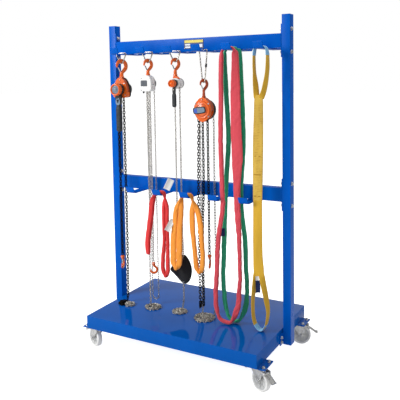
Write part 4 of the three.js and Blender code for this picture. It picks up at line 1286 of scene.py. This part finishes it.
hung_sling("crimson_round_sling_cloth", -110,
           [(1880, 241, 275), (1640, 236, 269), (1400, 231, 263), (1060, 238, 269),
            (960, 237, 268), (760, 205, 237), (540, 192, 224), (420, 183, 214), (340, 185, 215)],
           [(1880, 328, 374), (1600, 315, 383), (1420, 316, 390), (1300, 319, 395),
            (1090, 329, 377), (960, 335, 377), (860, 342, 379), (780, 349, 380), (670, 352, 380),
            (560, 355, 381), (400, 339, 373), (330, 321, 360)],
           [(306, DECK_TOP + 24), (264, DECK_TOP + 16), (222, DECK_TOP + 36)],
           M["crimson"], "crimson_polyester", "crimson_round_sling", (300, 980))
hung_sling("green_round_sling_cloth", -70,
           [(1880, 245, 275), (1640, 254, 286), (1400, 265, 297), (1150, 247, 279),
            (1010, 238, 270), (860, 229, 263), (690, 223, 256), (520, 217, 247),
            (380, 226, 256), (330, 234, 263)],
           [(1880, 339, 379), (1400, 351, 397), (1120, 349, 378), (960, 349, 378),
            (770, 369, 401), (600, 375, 405), (440, 381, 409), (350, 366, 402)],
           [(346, DECK_TOP + 30), (306, DECK_TOP + 16), (268, DECK_TOP + 36)],
           M["green"], "green_polyester", "green_round_sling", (300, 700))


def bundle(rows, y, turns, beside=True):
    """The two strands of a folded sling's one side: one down, a bend, the other back up. Rows
    are (height, left edge, right edge) and may end with the gap between the strands."""
    if beside:
        gapped = [(*row, -1.0)[:4] for row in rows]
        outer = [(z, (a + b + gap) / 2, b) for z, a, b, gap in gapped]
        inner = [(z, a, (a + b - gap) / 2) for z, a, b, gap in gapped]
        if turns < 0:
            outer, inner = inner, outer
        down = strand(outer, y, 90 * turns, wrinkle=1.4)
        up = strand(inner, y, -90 * turns, wrinkle=1.4)[::-1]
    else:
        down = strand(rows, y + 8.5 * turns, 90, 13)
        up = strand(rows, y - 8.5 * turns, 90, 13)[::-1]
    return down, up


def folded_sling(name, x, y, left, right, ends, material, slot, node, seed, left_beside=True):
    """A short endless sling doubled over a lower arm: two strands down each side."""
    top = LOWER_ARM
    front = over_arm(x, y - 8.3, top, 15, 21, 6)
    back = over_arm(x, y + 8.3, top, 15, 21, 6)[::-1]
    down, up = bundle(right, y, 1)
    route = front + down
    route += [(px, y, pz, 27, 16, 0, 2.0) for px, pz in ends[1]]
    route += up + back
    down, up = bundle(left, y, -1 if left_beside else 1, left_beside)
    if left_beside:
        down, up = up[::-1], down[::-1]
        down = [(*p[:5], 90, p[6]) for p in down]
        up = [(*p[:5], -90, p[6]) for p in up]
        route += down + [(px, y, pz, 27, 16, 0, 2.0) for px, pz in ends[0]] + up
    else:
        route += down + [(px, y, pz, wide, 12, 90, 1.0) for px, pz, wide in ends[0]] + up
    soft_band(name, route, material, slot, node, seed=seed)


folded_sling("red_round_sling_cloth", LOWER_X[1], -108,
             [(960, -280, -246), (860, -296, -261), (698, -322, -289), (630, -322, -291)],
             [(940, -188, -139), (830, -190, -139), (714, -189, -139, 3), (569, -206, -139, 9),
              (510, -204, -140, 4)],
             ([(-306, 603, 24)], [(-171, 470)]),
             M["red"], "red_polyester", "red_round_sling", 4, left_beside=False)
folded_sling("orange_round_sling_cloth", LOWER_X[2], -108,
             [(930, -96, -26), (830, -112, -34), (722, -128, -41), (620, -131, -43),
              (570, -130, -48)],
             [(930, 18, 94), (850, 16, 114, 18), (740, 27, 119, 26), (650, 37, 124, 22),
              (570, 43, 119, 6)],
             ([(-90, 534)], [(81, 534)]),
             M["orange_web"], "orange_polyester", "orange_round_sling", 9)


def eye_sling():
    """Two-ply webbing with a sewn eye at each end."""
    x, y = UPPER_X[5], -103
    top, bottom = UPPER_ARM, DECK_TOP

    def part(name, route, material="yellow", **more):
        soft_band(name, route, M[material], "yellow_polyester", closed=False, **more)

    sewn = strand([(1662, 479, 513), (1610, 466, 526), (1340, 456, 524), (1034, 454, 516)],
                  y, 88, 12, 0.5)
    part("yellow_webbing_sling_sewn_part", sewn, "yellow_sewn",
         replaces="yellow_webbing_sling", ribs=2)
    body = strand([(1040, 455, 515), (740, 452, 515), (620, 453, 523), (570, 457, 525)],
                  y, 88, 10, 0.4)
    part("yellow_webbing_sling_body", body, ribs=2)
    for k, (z, left, right) in enumerate([(1300, 459, 518), (1190, 458, 518), (1060, 457, 514)]):
        seam = strand([(z + 3, left, right), (z, left - 1, right + 1), (z - 3, left, right)], y, 88,
                      12.4, 0)
        part(f"yellow_sling_cross_seam_{k + 1}", seam, "yellow_dark", step=3, levels=0)
    high = [(484, y, 1640, 34, 8, 76), (480, y, 1700, 38, 7, 38), (471, y, 1800, 40, 7, 4),
           (470, y, 1890, 40, 7, 0), (x - 37, y, top - 8, 40, 6.5, 0),
           (x - 24, y, top + 5.5, 40, 6.5, 0), (x, y, top + 6, 40, 6.5, 0),
           (x + 24, y, top + 5.5, 40, 6.5, 0), (x + 37, y, top - 8, 40, 6.5, 0),
           (555, y, 1890, 40, 7, 6), (552, y, 1800, 40, 7, 14), (534, y, 1700, 38, 7, 32),
           (512, y, 1640, 34, 8, 74)]
    low = [(474, y, 600, 34, 8, 76), (461, y, 516, 38, 7, 30), (449, y, 420, 40, 7, 8),
           (451, y, 325, 40, 7, 6), (464, y, 274, 40, 7, 4), (488, y, bottom + 12, 40, 7, 0),
           (512, y, bottom + 11, 40, 7, 0), (535, y, 282, 40, 7, 4), (547, y, 360, 40, 7, 10),
           (537, y, 434, 40, 7, 26), (520, y, 516, 38, 7, 40), (504, y, 600, 34, 8, 76)]
    for name, eye in (("upper", high), ("lower", low)):
        part(f"yellow_webbing_sling_{name}_eye", [(*p, 0.35) for p in eye], ribs=1)
    for name, covered in (("upper", high[3:10]), ("lower", low[4:8])):
        sleeve = [(*p[:3], p[3] + 3, p[4] + 3, p[5], 0.5) for p in covered]
        part(f"yellow_sling_{name}_sleeve", sleeve, "sleeve", ribs=1, step=5)


eye_sling()


def tag(name, x, y, z, width, height, material, heading=60, lean=0):
    """A cloth label sewn round a strand, curled a little; lean tips its head to the right."""
    columns, rows = 8, 8
    verts, faces, uvs = [], [], []
    turn = (Matrix.Rotation(math.radians(heading), 3, "Z")
            @ Matrix.Rotation(math.radians(lean), 3, "X"))
    for skin in (0, 1):
        for r in range(rows + 1):
            for c in range(columns + 1):
                u, v = c / columns - 0.5, r / rows - 0.5
                bow = -5 * (1 - (2 * u) ** 2) - 1.5 * math.sin(v * 5) - skin * 0.8
                p = turn @ Vector((bow, u * width, v * height))
                verts.append((x + p.x, y + p.y, z + p.z))
                uvs.append((u * width * MM, v * height * MM))
    step = columns + 1
    base = (rows + 1) * step
    for r in range(rows):
        for c in range(columns):
            i = r * step + c
            faces.append((i, i + 1, i + step + 1, i + step))
            faces.append((base + i, base + i + step, base + i + step + 1, base + i + 1))
    rim = ([r * step for r in range(rows + 1)] + [rows * step + c for c in range(1, columns + 1)]
           + [r * step + columns for r in range(rows - 1, -1, -1)]
           + [c for c in range(columns - 1, 0, -1)])
    for a, b in zip(rim, rim[1:] + rim[:1]):
        faces.append((a, b, base + b, base + a))
    piece(name, (verts, faces), material, "rack", "black_nylon", uvs=uvs)


tag("red_sling_tag_upper", -119, -131, 1090, 44, 74, M["tag_white"], -62, -26)
tag("red_sling_tag_lower", -118, -131, 824, 34, 84, M["tag_white"], -62, -30)
tag("green_sling_tag", 244, -92, 810, 26, 50, M["tag_blue"], -62)
tag("yellow_sling_tag", 488, -114, 512, 28, 76, M["tag_blue"], -62)
tag("yellow_sling_tag_stub", 485, -117, 562, 22, 26, M["tag_white"], -62)

# ---------------------------- floor and light

WORLD_LIGHT = 0.36
FLOOR_GLOW = 0.9


def stage():
    mesh = bpy.data.meshes.new("floor")
    size = 60.0
    mesh.from_pydata([(-size, -size, 0), (size, -size, 0), (size, size, 0), (-size, size, 0)],
                     [], [(0, 1, 2, 3)])
    floor = bpy.data.objects.new("floor", mesh)
    scene.collection.objects.link(floor)
    s = Surface("pale_floor", Roughness=0.9, Base_Color=(0.85, 0.85, 0.85, 1),
                Emission_Color=(1, 1, 1, 1), Specular_IOR_Level=0.0)
    seen = s.node("LightPath").outputs["Is Camera Ray"]
    glow = s.node("MapRange", Value=seen, To_Min=0.1, To_Max=FLOOR_GLOW)
    s.drive("Emission Strength", glow.outputs["Result"])
    mesh.materials.append(s.material)

    world = bpy.data.worlds.new("studio")
    scene.world = world
    world.use_nodes = True
    background = world.node_tree.nodes["Background"]
    background.inputs["Color"].default_value = (1, 1, 1, 1)
    seen = world.node_tree.nodes.new("ShaderNodeLightPath").outputs["Is Camera Ray"]
    strength = world.node_tree.nodes.new("ShaderNodeMapRange")
    strength.inputs["To Min"].default_value = WORLD_LIGHT
    strength.inputs["To Max"].default_value = 1.0
    world.node_tree.links.new(seen, strength.inputs["Value"])
    world.node_tree.links.new(strength.outputs["Result"], background.inputs["Strength"])

    def area(name, place, target, width, height, power):
        data = bpy.data.lights.new(name, "AREA")
        data.shape = "RECTANGLE"
        data.size, data.size_y = width, height
        data.energy = power
        light = bpy.data.objects.new(name, data)
        scene.collection.objects.link(light)
        light.location = place
        direction = Vector(target) - Vector(place)
        light.rotation_euler = direction.to_track_quat("-Z", "Y").to_euler()

    area("key", (-3.4, -3.9, 3.3), (0, 0, 1.0), 1.8, 1.8, 235)
    area("fill", (4.2, -3.0, 2.6), (0, 0, 1.0), 2.0, 3.0, 26)
    area("top", (0.5, 1.0, 4.6), (0, 0, 1.2), 3.0, 3.0, 66)
    scene.view_settings.view_transform = "Standard"


stage()

# ---------------------------- CAD nodes still shown

for node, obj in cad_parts.items():
    if not obj.hide_render:
        obj.data.materials.clear()
        obj.data.materials.append(M["blue"])
